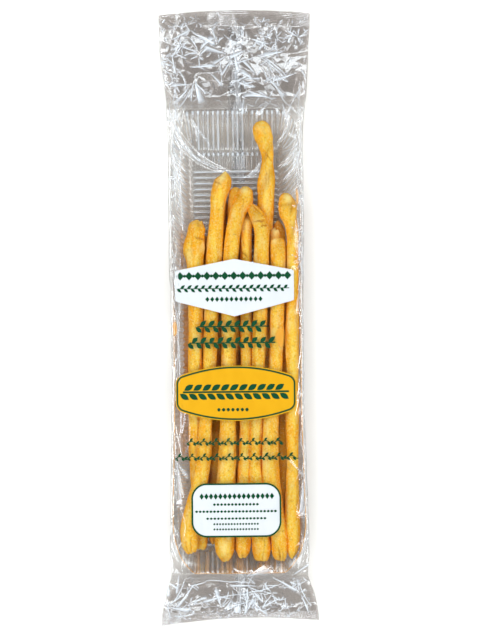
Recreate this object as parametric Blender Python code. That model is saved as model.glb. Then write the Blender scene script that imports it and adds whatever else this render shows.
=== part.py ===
"""A sealed clear pack of hand-stretched grissini, lying on its back: the outer form of the bag.

The bag is one closed solid, out to its film: the long middle drawn round a tray, a header that slopes
down to a flat crimped seal, and a shorter tail that flares to another. +Z is the shown side, +Y points
to the header, and the flat underside of the tray rests at Z = 0. Lengths below are millimetres.
"""

import math
import random

import bmesh
import bpy

PACK_NAME = "grissini_pack"
BAG_NAME = "bag"
MM = 0.001

# Overall sizes
PACK_LENGTH = 450.0
HEADER_SEAL_WIDTH = 111.2
TAIL_SEAL_WIDTH = 115.8
BODY_WIDTH = 97.0
FLOOR_WIDTH = 61.0
RIM_HEIGHT = 23.5
CROWN = 3.2
SEAL_THICKNESS = 1.2
SEAL_LENGTH = 8.0

# The tray inside, which shapes the middle of the bag
TRAY_TOP_RIM_Y = 152.0
TRAY_TOP_FLOOR_Y = 121.0
TRAY_TAIL_FLOOR_Y = -171.0
TRAY_TAIL_RIM_Y = -187.0

# The ends: the header's edge is arched outwards, the tail's is hollow, and both droop to a low seal
HEADER_ARCH = 3.0
TAIL_HOLLOW = 5.5
ARCH_FADE = 30.0
HEADER_SEAL_Z = 5.0
TAIL_SEAL_Z = 4.2

# Low ridges where the film lies on the sticks
STICK_RIDGES = 6
RIDGE_HEIGHT = 0.8
RIDGE_LEAN = 0.035

# Creases in the slack film of the two ends
CREASE_SEED = 17
HEADER_CREASES = 16
TAIL_CREASES = 9
CREASE_HEIGHT = 3.2
CREASE_WIDTH = 10.0

# Mesh of the loft
ROW_STEP = 6.6
FACE_SEGMENTS = 24
SIDE_SEGMENTS = 5

FILM_COLOUR = (0.66, 0.64, 0.60, 1.0)
FILM_ROUGHNESS = 0.22


class Station:
    """One section of the bag: half widths of its middle and underside, and the heights of its parts."""

    def __init__(self, y, half_width, floor_half, under, rim, crown):
        self.y = y
        self.values = (half_width, floor_half, under, rim, crown)


def stations():
    """The sections that the loft passes through, from the tail to the header."""
    half_seal = SEAL_THICKNESS / 2
    half_body = BODY_WIDTH / 2
    half_floor = FLOOR_WIDTH / 2
    half_tail = TAIL_SEAL_WIDTH / 2
    half_header = HEADER_SEAL_WIDTH / 2
    tail_end = -PACK_LENGTH / 2
    header_end = PACK_LENGTH / 2 - HEADER_ARCH
    return [
        Station(tail_end, half_tail, half_tail - 1, TAIL_SEAL_Z - half_seal, TAIL_SEAL_Z, half_seal),
        Station(
            tail_end + SEAL_LENGTH,
            half_tail - 0.6,
            half_tail - 2,
            TAIL_SEAL_Z - half_seal,
            TAIL_SEAL_Z,
            half_seal,
        ),
        Station(TRAY_TAIL_RIM_Y - 11, half_tail - 4.6, half_tail - 9, 2.4, 10.5, 2.6),
        Station(TRAY_TAIL_RIM_Y, half_body + 1.2, half_floor + 6, 0.6, RIM_HEIGHT - 3.5, CROWN),
        Station(TRAY_TAIL_FLOOR_Y, half_body + 2.1, half_floor + 1.5, 0.0, RIM_HEIGHT, CROWN),
        Station(-110.0, half_body + 0.8, half_floor, 0.0, RIM_HEIGHT, CROWN),
        Station(-60.0, half_body - 0.3, half_floor, 0.0, RIM_HEIGHT, CROWN),
        Station(0.0, half_body - 0.3, half_floor, 0.0, RIM_HEIGHT, CROWN),
        Station(60.0, half_body + 0.5, half_floor, 0.0, RIM_HEIGHT, CROWN),
        Station(TRAY_TOP_FLOOR_Y, half_body + 0.5, half_floor + 1, 0.0, RIM_HEIGHT, CROWN),
        Station(TRAY_TOP_RIM_Y, half_body + 1.8, half_floor + 6, 1.2, RIM_HEIGHT - 0.8, CROWN),
        Station(TRAY_TOP_RIM_Y + 22, half_header - 3.2, half_floor + 15, 2.6, 14.5, CROWN),
        Station(
            header_end - SEAL_LENGTH,
            half_header - 0.2,
            half_header - 1.6,
            HEADER_SEAL_Z - half_seal,
            HEADER_SEAL_Z,
            half_seal,
        ),
        Station(
            header_end,
            half_header,
            half_header - 1,
            HEADER_SEAL_Z - half_seal,
            HEADER_SEAL_Z,
            half_seal,
        ),
    ]


def section_at(y, knots):
    """The section's five values at y, on a curve through the knots that never swings past a knot."""
    last = len(knots) - 2
    index = min(max(sum(1 for knot in knots if knot.y <= y) - 1, 0), last)
    low, high = knots[index], knots[index + 1]
    span = high.y - low.y
    t = min(max((y - low.y) / span, 0.0), 1.0)
    values = []
    for k in range(len(low.values)):
        slopes = []
        for here in (index, index + 1):
            before, after = knots[max(here - 1, 0)], knots[min(here + 1, last + 1)]
            rise_in = knots[here].values[k] - before.values[k]
            rise_out = after.values[k] - knots[here].values[k]
            steady = rise_in * rise_out > 0
            slopes.append((rise_in + rise_out) / (after.y - before.y) if steady else 0.0)
        a, b = low.values[k], high.values[k]
        limit = 2.5 * (b - a) / span
        first, second = (math.copysign(min(abs(s), abs(limit)), s) for s in slopes)
        values.append(
            a * (1 + 2 * t) * (1 - t) ** 2
            + b * t * t * (3 - 2 * t)
            + span * (first * t * (1 - t) ** 2 - second * t * t * (1 - t))
        )
    return values


def make_creases(count, low_y, high_y, half_width, lean, seed):
    """Straight creases as (x, y, angle, reach, height), spread between two heights up the pack."""
    draw = random.Random(seed)
    creases = []
    for i in range(count):
        y = low_y + (high_y - low_y) * (i + draw.random()) / count
        x = draw.uniform(-1, 1) * half_width
        angle = math.pi / 2 + draw.uniform(-lean, lean) - 0.5 * x / half_width
        height = CREASE_HEIGHT * draw.uniform(0.4, 1.0) * draw.choice((-1, 1))
        creases.append((x, y, angle, draw.uniform(14, 30), height))
    return creases


def crease_height(x, y, creases):
    """How far the creases lift the upper film here. Each is a straight fold with a sharp crest."""
    total = 0.0
    for cx, cy, angle, reach, height in creases:
        along = (x - cx) * math.cos(angle) + (y - cy) * math.sin(angle)
        across = -(x - cx) * math.sin(angle) + (y - cy) * math.cos(angle)
        crest = max(0.0, 1 - abs(across) / CREASE_WIDTH)
        total += height * crest * max(0.0, 1 - (along / reach) ** 2)
    return total


def slackness(y):
    """How loose the film is: 0 over the tray and in the seals, up to 1 in the middle of each end."""
    header = (y - TRAY_TOP_RIM_Y + 20) / (PACK_LENGTH / 2 - SEAL_LENGTH - TRAY_TOP_RIM_Y + 20)
    tail = (TRAY_TAIL_RIM_Y + 6 - y) / (TRAY_TAIL_RIM_Y + 6 + PACK_LENGTH / 2 - SEAL_LENGTH)
    return max(0.0, *(math.sin(math.pi * t) if 0 < t < 1 else 0.0 for t in (header, tail)))


def stick_ridge(x, y, half_width):
    """The film's rise over the sticks, which lean a little across the tray."""
    phase = (x / (2 * half_width) + 0.5 - RIDGE_LEAN * y / 100) * STICK_RIDGES
    fade = min(1.0, max(0.0, (TRAY_TOP_FLOOR_Y - abs(y + 25)) / 25))
    return RIDGE_HEIGHT * (0.5 - 0.5 * math.cos(2 * math.pi * phase)) * fade


def end_shift(x, y, half_width):
    """How far a row is bowed along the pack, so that the seals have the curve of their edges."""
    bow = 1 - (x / half_width) ** 2
    header = max(0.0, 1 - (PACK_LENGTH / 2 - HEADER_ARCH - y) / ARCH_FADE)
    tail = max(0.0, 1 - (y + PACK_LENGTH / 2) / ARCH_FADE)
    return bow * (HEADER_ARCH * header + TAIL_HOLLOW * tail)


def ring_points(y, knots, creases):
    """One section of the bag as points: along the underside, up the right side, back along the top."""
    half_width, floor_half, under, rim, crown = section_at(y, knots)
    slack = slackness(y)
    points = []
    for i in range(FACE_SEGMENTS):
        points.append((floor_half * (2 * i / FACE_SEGMENTS - 1), under))
    right = []
    for i in range(SIDE_SEGMENTS):
        turn = math.pi / 2 * i / SIDE_SEGMENTS
        x = floor_half + (half_width - floor_half) * math.sin(turn)
        right.append((x, under + (rim - under) * (1 - math.cos(turn)) ** 0.8))
    points += right
    for i in range(FACE_SEGMENTS + 1):
        across = 1 - 2 * i / FACE_SEGMENTS
        x = half_width * across
        edge = 1 - across**4
        lift = crown * (1 - across**2) ** 0.6
        lift += edge * stick_ridge(x, y, half_width)
        lift += edge * slack * crease_height(x, y, creases)
        points.append((x, max(rim + lift, under + SEAL_THICKNESS / 2)))
    points += [(-x, z) for x, z in reversed(right[1:])]
    return [(x, y + end_shift(x, y, half_width), z) for x, z in points]


def close_end(bm, ring, facing_header):
    """Close one thin end of the loft: quads between its two faces, and one small face at each side."""
    top_start = FACE_SEGMENTS + SIDE_SEGMENTS
    faces = []
    for i in range(FACE_SEGMENTS):
        mirrored = top_start + FACE_SEGMENTS - i
        faces.append([ring[i], ring[i + 1], ring[mirrored - 1], ring[mirrored]])
    faces.append(ring[FACE_SEGMENTS : top_start + 1])
    faces.append(ring[top_start + FACE_SEGMENTS :] + ring[:1])
    for corners in faces:
        bm.faces.new(corners if facing_header else corners[::-1])


def bag_mesh():
    """The bag as a loft through rings of points, closed at both seals."""
    header_span = (TRAY_TOP_RIM_Y - 8, PACK_LENGTH / 2 - SEAL_LENGTH)
    tail_span = (-PACK_LENGTH / 2 + SEAL_LENGTH, TRAY_TAIL_RIM_Y + 4)
    creases = make_creases(HEADER_CREASES, *header_span, HEADER_SEAL_WIDTH / 2, 0.5, CREASE_SEED)
    creases += make_creases(TAIL_CREASES, *tail_span, TAIL_SEAL_WIDTH / 2, 1.2, CREASE_SEED + 1)
    knots = stations()
    first, last = knots[0].y, knots[-1].y
    rows = round((last - first) / ROW_STEP)
    bm = bmesh.new()
    rings = []
    for row in range(rows + 1):
        y = first + (last - first) * row / rows
        points = ring_points(y, knots, creases)
        rings.append([bm.verts.new([c * MM for c in point]) for point in points])
    for low, high in zip(rings, rings[1:]):
        for i in range(len(low)):
            j = (i + 1) % len(low)
            bm.faces.new([low[i], low[j], high[j], high[i]])
    close_end(bm, rings[0], facing_header=False)
    close_end(bm, rings[-1], facing_header=True)
    bmesh.ops.recalc_face_normals(bm, faces=bm.faces[:])
    bmesh.ops.triangulate(bm, faces=bm.faces[:])
    mesh = bpy.data.meshes.new(BAG_NAME)
    bm.to_mesh(mesh)
    bm.free()
    return mesh


def film_material():
    """A plain pale material in the place of the clear film."""
    material = bpy.data.materials.new("clear_film")
    material.use_nodes = True
    shader = material.node_tree.nodes["Principled BSDF"]
    shader.inputs["Base Color"].default_value = FILM_COLOUR
    shader.inputs["Roughness"].default_value = FILM_ROUGHNESS
    shader.inputs["Metallic"].default_value = 0.0
    return material


def main():
    """Clear the scene and build the pack in its own collection."""
    for old in list(bpy.data.objects):
        bpy.data.objects.remove(old, do_unlink=True)
    pack = bpy.data.collections.new(PACK_NAME)
    bpy.context.scene.collection.children.link(pack)
    bag = bpy.data.objects.new(BAG_NAME, bag_mesh())
    bag.data.materials.append(film_material())
    bag.data.shade_smooth()
    bag.data.set_sharp_from_angle(angle=math.radians(35))
    pack.objects.link(bag)


main()
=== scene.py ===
"""The looks of a sealed clear pack of hand-stretched grissini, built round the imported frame.

The pack lies on its back: +Z is the shown side and +Y points to the header. The closed solid of the bag
is replaced by what the real pack holds: thin clear film drawn into folds, a ribbed clear tray, the
sticks in two layers, crumbs, and plain fields of print on the film. Sizes are in millimetres and are
turned into metres where a mesh is made.
"""

from __future__ import annotations

import logging
import math
from dataclasses import dataclass
from enum import Enum
from typing import Callable, Sequence

import bpy
import numpy as np
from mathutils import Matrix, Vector
from mathutils.geometry import delaunay_2d_cdt


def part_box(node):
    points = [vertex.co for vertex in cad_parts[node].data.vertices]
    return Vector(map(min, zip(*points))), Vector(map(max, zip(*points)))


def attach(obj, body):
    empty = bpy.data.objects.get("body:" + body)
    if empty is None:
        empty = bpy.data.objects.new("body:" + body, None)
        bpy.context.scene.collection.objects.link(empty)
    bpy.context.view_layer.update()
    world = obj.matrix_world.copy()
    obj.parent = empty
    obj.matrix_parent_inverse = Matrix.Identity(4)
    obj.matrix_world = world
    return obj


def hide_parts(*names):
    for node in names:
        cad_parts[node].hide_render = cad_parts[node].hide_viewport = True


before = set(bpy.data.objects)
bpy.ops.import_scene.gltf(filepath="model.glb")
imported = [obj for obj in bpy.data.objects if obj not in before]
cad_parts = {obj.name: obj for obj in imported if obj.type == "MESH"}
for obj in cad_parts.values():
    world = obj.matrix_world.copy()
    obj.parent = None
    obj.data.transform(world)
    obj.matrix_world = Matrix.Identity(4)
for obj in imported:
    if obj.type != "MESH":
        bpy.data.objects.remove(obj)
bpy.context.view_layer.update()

log = logging.getLogger("grissini_pack")

MM = 0.001
BAG_NODE = "bag"
BODY = "root"
FAINT_SHINE = 0.12

Array = np.ndarray
Colour = tuple[float, float, float, float]
Material = bpy.types.Material
Piece = bpy.types.Object
Socket = bpy.types.NodeSocket


# ---------------- small tools


def ease(t: Array) -> Array:
    """A smooth step from 0 to 1, held at its ends."""
    t = np.clip(t, 0.0, 1.0)
    return t * t * (3 - 2 * t)


def curve_through(knots: Sequence[float], values: Sequence[float], at: Array) -> Array:
    """A smooth curve through pairs of knot and value that never swings past a knot.

    Args:
        knots: Places along the curve, rising.
        values: The curve's value at each knot.
        at: Where to read the curve.

    Returns:
        The curve's values, held constant outside the knots.
    """
    x, v = np.asarray(knots, float), np.asarray(values, float)
    step = np.diff(x)
    rise = np.diff(v) / step
    slope = np.zeros_like(v)
    slope[0], slope[-1] = rise[0], rise[-1]
    if len(x) > 2:
        before, after = rise[:-1], rise[1:]
        both = before * after > 0
        mean = 2 * before * after / np.where(both, before + after, 1.0)
        slope[1:-1] = np.where(both, mean, 0.0)
    return sloped_curve(x, v, slope, np.clip(at, x[0], x[-1]))


def sloped_curve(knots: Array, values: Array, slope: Array, at: Array) -> Array:
    """A smooth curve through pairs of knot and value, with a given slope at each.

    Args:
        knots: Places along the curve, rising.
        values: The curve's value at each knot.
        slope: The curve's slope at each knot.
        at: Where to read the curve, not outside the knots.

    Returns:
        The curve's values.
    """
    k = np.clip(np.searchsorted(knots, at, side="right") - 1, 0, len(knots) - 2)
    step = knots[k + 1] - knots[k]
    t = (at - knots[k]) / step
    ends = values[k] * (1 + 2 * t) * (1 - t) ** 2 + values[k + 1] * t * t * (3 - 2 * t)
    return ends + step * (slope[k] * t * (1 - t) ** 2 - slope[k + 1] * t * t * (1 - t))


def run_along(line: Array) -> Array:
    """Each point's distance along a line from the line's first point."""
    return np.concatenate([[0], np.cumsum(np.linalg.norm(np.diff(line, axis=0), axis=1))])


def level_frame(ahead: Array) -> tuple[Array, Array, Array]:
    """Unit vectors ahead, level to the side and up, for each direction of a line.

    Args:
        ahead: The directions, of any length.

    Returns:
        The three vectors for each.
    """
    ahead = ahead / np.linalg.norm(ahead, axis=1, keepdims=True)
    side = np.cross(ahead, (0.0, 0.0, 1.0))
    side /= np.linalg.norm(side, axis=1, keepdims=True)
    return ahead, side, np.cross(side, ahead)


def smooth_noise(u: Array, v: Array, cells: tuple[int, int], seed: int, wrap_u: bool = False) -> Array:
    """Soft random noise from -1 to 1 on a unit square.

    Args:
        u: First coordinate, 0 to 1.
        v: Second coordinate, 0 to 1.
        cells: How many cells of noise lie along u and v.
        seed: Picks the pattern.
        wrap_u: Whether the pattern closes on itself along u.

    Returns:
        Noise of the shape of u and v.
    """
    draw = np.random.default_rng(seed)
    nu, nv = cells
    lattice = draw.uniform(-1, 1, (nv + 2, nu + 2))
    if wrap_u:
        lattice[:, nu:] = lattice[:, : lattice.shape[1] - nu]
    pu, pv = np.clip(u, 0, 1) * nu, np.clip(v, 0, 1) * nv
    iu, iv = np.minimum(pu.astype(int), nu), np.minimum(pv.astype(int), nv)
    fu, fv = ease(pu - iu), ease(pv - iv)
    low = lattice[iv, iu] * (1 - fu) + lattice[iv, iu + 1] * fu
    high = lattice[iv + 1, iu] * (1 - fu) + lattice[iv + 1, iu + 1] * fu
    return low * (1 - fv) + high * fv


def grid_quads(rows: int, columns: int, wrap: bool = False) -> Array:
    """Quads over a grid of points numbered row by row, wound to face along row x column.

    Args:
        rows: Rows of the grid.
        columns: Points in a row.
        wrap: Whether each row closes on itself.

    Returns:
        The quads' corner numbers.
    """
    across = columns if wrap else columns - 1
    r, c = np.meshgrid(np.arange(rows - 1), np.arange(across), indexing="ij")
    d = (c + 1) % columns
    quads = (r * columns + c, r * columns + d, (r + 1) * columns + d, (r + 1) * columns + c)
    return np.stack(quads, axis=-1).reshape(-1, 4)


def grid_normals(points: Array, wrap: bool = False) -> Array:
    """Unit normals of a grid of points, on the side that grid_quads faces.

    Args:
        points: The grid.
        wrap: Whether each row closes on itself.

    Returns:
        A normal for each point.
    """
    down = np.gradient(points, axis=0)
    if wrap:
        across = (np.roll(points, -1, axis=1) - np.roll(points, 1, axis=1)) / 2
    else:
        across = np.gradient(points, axis=1)
    normal = np.cross(across, down)
    return normal / np.maximum(np.linalg.norm(normal, axis=2, keepdims=True), 1e-9)


def make_object(name: str, points: Array, faces: Array | list[list[int]], material: Material) -> Piece:
    """A smooth-shaded object at the origin from points in millimetres and their faces.

    Args:
        name: The piece's name.
        points: Its points in millimetres.
        faces: Each face's corner numbers.
        material: Its finish.

    Returns:
        The object, linked to the scene.
    """
    mesh = bpy.data.meshes.new(name)
    mesh.from_pydata((points.reshape(-1, 3) * MM).tolist(), [], [list(face) for face in faces])
    mesh.materials.append(material)
    mesh.shade_smooth()
    mesh.update()
    obj = bpy.data.objects.new(name, mesh)
    bpy.context.scene.collection.objects.link(obj)
    return obj


def add_attribute(obj: Piece, name: str, values: Array) -> None:
    """Store one number for each vertex under a name that materials and node trees can read."""
    layer = obj.data.attributes.new(name, "FLOAT", "POINT")
    layer.data.foreach_set("value", np.ascontiguousarray(values, np.float32).reshape(-1))


def place(obj: Piece) -> Piece:
    """Let a finished piece ride on the pack and report it.

    Args:
        obj: The finished piece.

    Returns:
        The same piece.
    """
    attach(obj, BODY)
    log.info("%s: %d faces", obj.name, len(obj.data.polygons))
    return obj


def bake_modifiers(obj: Piece) -> Piece:
    """Turn an object with modifiers into a plain mesh of what they make.

    Args:
        obj: The object to change.

    Returns:
        The same object, without modifiers.
    """
    graph = bpy.context.evaluated_depsgraph_get()
    mesh = bpy.data.meshes.new_from_object(obj.evaluated_get(graph))
    mesh.name = obj.name
    obj.modifiers.clear()
    obj.data = mesh
    return obj


# ---------------- geometry node trees


class Nodes:
    """A node tree with short ways to add a node, feed its sockets and do sums."""

    def __init__(self, tree: bpy.types.NodeTree) -> None:
        """Take a tree to build in.

        Args:
            tree: The tree.
        """
        self.tree = tree

    def node(self, kind: str, feeds: dict[str, object] | None = None, **settings: object) -> bpy.types.Node:
        """Add a node.

        Args:
            kind: The node's type.
            feeds: What goes into its sockets, by socket name: other sockets or plain values.
            **settings: The node's own properties.

        Returns:
            The node.
        """
        made = self.tree.nodes.new(kind)
        for key, value in settings.items():
            setattr(made, key, value)
        for name, source in (feeds or {}).items():
            self.join(source, made.inputs[name])
        return made

    def join(self, source: object, target: Socket) -> None:
        """Feed a socket from another socket, or set it to a plain value.

        Args:
            source: The other socket, or the value.
            target: The socket to feed.
        """
        if isinstance(source, bpy.types.NodeSocket):
            self.tree.links.new(source, target)
        else:
            target.default_value = source

    def fed(self, kind: str, *sources: object, **settings: object) -> Socket:
        """Add a node and feed its enabled inputs in their own order.

        Args:
            kind: The node's type.
            *sources: Sockets or plain values.
            **settings: The node's own properties.

        Returns:
            Its first enabled output.
        """
        made = self.node(kind, **settings)
        for source, target in zip(sources, [socket for socket in made.inputs if socket.enabled]):
            self.join(source, target)
        return next(socket for socket in made.outputs if socket.enabled)

    def maths(self, operation: str, *operands: object, clamp: bool = False) -> Socket:
        """A sum of sockets or numbers, by a Math node.

        Args:
            operation: The Math node's operation.
            *operands: Its inputs.
            clamp: Whether the result is held between 0 and 1.

        Returns:
            The result.
        """
        return self.fed("ShaderNodeMath", *operands, operation=operation, use_clamp=clamp)


    def times(self, first: object, second: object) -> Socket:
        """The product of two sockets or numbers."""
        return self.maths("MULTIPLY", first, second)

    def ramp(
        self, value: Socket, low: object, high: object, full: float = 1.0, smooth: bool = True
    ) -> Socket:
        """A value's range from low to high drawn out to a range from 0.

        Args:
            value: The value.
            low: What becomes 0.
            high: What becomes full.
            full: The top of the new range.
            smooth: Whether the ramp eases in and out.

        Returns:
            The new value, held in its range.
        """
        feeds = {"Value": value, "From Min": low, "From Max": high, "To Max": full}
        style = "SMOOTHSTEP" if smooth else "LINEAR"
        return self.node("ShaderNodeMapRange", feeds, interpolation_type=style).outputs["Result"]

    def parts(self, vector: Socket) -> bpy.types.NodeOutputs:
        """The X, Y and Z of a vector."""
        return self.node("ShaderNodeSeparateXYZ", {"Vector": vector}).outputs


class NodeTree(Nodes):
    """A geometry node tree with named inputs, which ends in Realize Instances and Set Material."""

    def __init__(self, name: str) -> None:
        """Start an empty tree that takes a geometry.

        Args:
            name: The tree's name.
        """
        super().__init__(bpy.data.node_groups.new(name, "GeometryNodeTree"))
        for way in ("INPUT", "OUTPUT"):
            self.tree.interface.new_socket("Geometry", in_out=way, socket_type="NodeSocketGeometry")
        self.entry = self.node("NodeGroupInput")

    def inputs(self, *names: str, kind: str = "NodeSocketFloat") -> list[Socket]:
        """Add named inputs to the tree.

        Args:
            *names: Their names.
            kind: Their type.

        Returns:
            The sockets that give their values.
        """
        for name in names:
            self.tree.interface.new_socket(name, in_out="INPUT", socket_type=kind)
        return [self.entry.outputs[name] for name in names]

    def vector(self, x: object, y: object, z: object = 0.0) -> Socket:
        """A vector from three sockets or numbers."""
        return self.fed("ShaderNodeCombineXYZ", x, y, z)

    def named(self, name: str) -> Socket:
        """The value of a stored attribute."""
        return self.fed("GeometryNodeInputNamedAttribute", name, data_type="FLOAT")

    def raise_along_normal(self, geometry: Socket, height: object) -> Socket:
        """Move each point along its normal.

        Args:
            geometry: What to move.
            height: How far, in metres.

        Returns:
            The moved geometry.
        """
        scaled = self.node("ShaderNodeVectorMath", {"Scale": height}, operation="SCALE")
        self.join(self.node("GeometryNodeInputNormal").outputs[0], scaled.inputs[0])
        feeds = {"Geometry": geometry, "Offset": scaled.outputs[0]}
        return self.node("GeometryNodeSetPosition", feeds).outputs[0]

    def close(self, geometry: Socket) -> None:
        """End the tree: realize what is instanced, set the material and give the result.

        Args:
            geometry: What the tree made.
        """
        (material,) = self.inputs("Material", kind="NodeSocketMaterial")
        real = self.node("GeometryNodeRealizeInstances", {"Geometry": geometry})
        dressed = self.node("GeometryNodeSetMaterial", {"Geometry": real.outputs[0], "Material": material})
        self.node("NodeGroupOutput", {"Geometry": dressed.outputs[0]})

    def apply(self, obj: Piece, **values: object) -> Piece:
        """Run the tree on an object and keep the result as its plain mesh.

        Args:
            obj: The object to change.
            **values: The tree's inputs by name, with underscores for spaces.

        Returns:
            The same object, with no modifier left.
        """
        modifier = obj.modifiers.new(self.tree.name, "NODES")
        modifier.node_group = self.tree
        sockets = {item.name: item for item in self.tree.interface.items_tree if item.in_out == "INPUT"}
        for name, value in values.items():
            modifier[sockets[name.replace("_", " ")].identifier] = value
        return bake_modifiers(obj)


def rib_tree() -> NodeTree:
    """Ribs with flat crests and sloped flanks, from the attributes rib_phase, in turns, and rib_depth.

    Returns:
        The tree, with the inputs Depth and Flank.
    """
    tree = NodeTree("moulded ribs")
    depth, flank = tree.inputs("Depth", "Flank")
    wave = tree.maths("COSINE", tree.times(tree.named("rib_phase"), 2 * math.pi))
    crest = tree.ramp(wave, tree.times(flank, -1.0), flank, smooth=False)
    height = tree.times(tree.times(crest, tree.named("rib_depth")), depth)
    tree.close(tree.raise_along_normal(tree.entry.outputs["Geometry"], height))
    return tree


def crust_tree() -> NodeTree:
    """Lumps and fine pores of a baked crust, raised along the normal by noise.

    Returns:
        The tree, with the inputs Seed and, for Lump and Blister, Size and Height.
    """
    tree = NodeTree("baked crust")
    here = tree.node("GeometryNodeInputPosition").outputs[0]
    (seed,) = tree.inputs("Seed")
    parts = []
    for name in ("Lump", "Blister"):
        size, height = tree.inputs(f"{name} Size", f"{name} Height")
        feeds = {"Vector": here, "Detail": 1.5}
        noise = tree.node("ShaderNodeTexNoise", feeds, noise_dimensions="4D")
        tree.join(seed, noise.inputs["W"])
        tree.join(tree.maths("DIVIDE", 1.0, size), noise.inputs["Scale"])
        swing = tree.maths("MULTIPLY_ADD", noise.outputs[0], 2.0, -1.0)
        parts.append(tree.times(swing, height))
    tree.close(tree.raise_along_normal(tree.entry.outputs["Geometry"], tree.maths("ADD", *parts)))
    return tree


def motif_tree() -> NodeTree:
    """A row of flat motifs, set by turns above and below a level or waving line and leaning by turns.

    Returns:
        The tree, whose inputs are those of a Row.
    """
    tree = NodeTree("printed row")
    left, right, level, pitch = tree.inputs("Left", "Right", "Level", "Pitch")
    long, wide, lean, offset = tree.inputs("Long", "Wide", "Lean", "Offset")
    swell, period, vary, point = tree.inputs("Swell", "Period", "Vary", "Point")
    corners, seed = tree.inputs("Corners", "Seed", kind="NodeSocketInt")
    steps = tree.maths("FLOOR", tree.maths("DIVIDE", tree.maths("SUBTRACT", right, left), pitch))
    feeds = {
        "Count": tree.maths("ADD", steps, 1.0), "Start Location": tree.vector(left, level),
        "Offset": tree.vector(pitch, 0.0),
    }
    line = tree.node("GeometryNodeMeshLine", feeds).outputs[0]
    index = tree.node("GeometryNodeInputIndex").outputs[0]
    by_turns = tree.maths("SUBTRACT", tree.times(tree.maths("MODULO", index, 2.0), 2.0), 1.0)
    along = tree.maths("DIVIDE", tree.times(index, pitch), period)
    wave = tree.times(tree.maths("SINE", tree.times(along, 2 * math.pi)), swell)
    shift = tree.maths("ADD", tree.times(by_turns, offset), wave)
    feeds = {"Geometry": line, "Offset": tree.vector(0.0, shift)}
    moved = tree.node("GeometryNodeSetPosition", feeds).outputs[0]
    circle = tree.node("GeometryNodeMeshCircle", {"Vertices": corners}, fill_type="TRIANGLE_FAN")
    rim = tree.parts(tree.node("GeometryNodeInputPosition").outputs[0])["Y"]
    sharpened = tree.maths("POWER", tree.maths("ABSOLUTE", rim), point)
    pinched = tree.maths("SUBTRACT", sharpened, 1.0)
    reach = tree.vector(0.0, tree.times(rim, pinched))
    feeds = {"Geometry": circle.outputs["Mesh"], "Offset": reach}
    motif = tree.node("GeometryNodeSetPosition", feeds).outputs[0]
    ends = tree.maths("SUBTRACT", 1.0, vary), tree.maths("ADD", 1.0, vary)
    chance = tree.node("FunctionNodeRandomValue", {"Seed": seed}, data_type="FLOAT")
    for source, target in zip(ends, [socket for socket in chance.inputs if socket.enabled]):
        tree.join(source, target)
    size = next(socket for socket in chance.outputs if socket.enabled)
    feeds = {
        "Points": moved, "Instance": motif, "Rotation": tree.vector(0.0, 0.0, tree.times(by_turns, lean)),
        "Scale": tree.vector(tree.times(long, size), wide, 1.0),
    }
    tree.close(tree.node("GeometryNodeInstanceOnPoints", feeds).outputs[0])
    return tree


def crumb_tree() -> NodeTree:
    """Small crumbs scattered over a surface, each turned and sized by chance.

    Returns:
        The tree, with the inputs Density, Smallest, Largest and Seed.
    """
    tree = NodeTree("scattered crumbs")
    density, small, large = tree.inputs("Density", "Smallest", "Largest")
    (seed,) = tree.inputs("Seed", kind="NodeSocketInt")
    feeds = {"Mesh": tree.entry.outputs["Geometry"], "Density": density, "Seed": seed}
    points = tree.node("GeometryNodeDistributePointsOnFaces", feeds).outputs["Points"]
    crumb = tree.node("GeometryNodeMeshIcoSphere", {"Radius": 1.0, "Subdivisions": 2}).outputs["Mesh"]
    flat = tree.node("GeometryNodeTransform", {"Geometry": crumb, "Scale": (1.0, 0.72, 0.55)})
    size = tree.fed("FunctionNodeRandomValue", small, large, data_type="FLOAT")
    turn = tree.fed("FunctionNodeRandomValue", (0, 0, 0), (0.6, 0.6, 2 * math.pi), data_type="FLOAT_VECTOR")
    feeds = {"Points": points, "Instance": flat.outputs["Geometry"], "Rotation": turn, "Scale": size}
    tree.close(tree.node("GeometryNodeInstanceOnPoints", feeds).outputs[0])
    return tree


# ---------------- finishes


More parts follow.
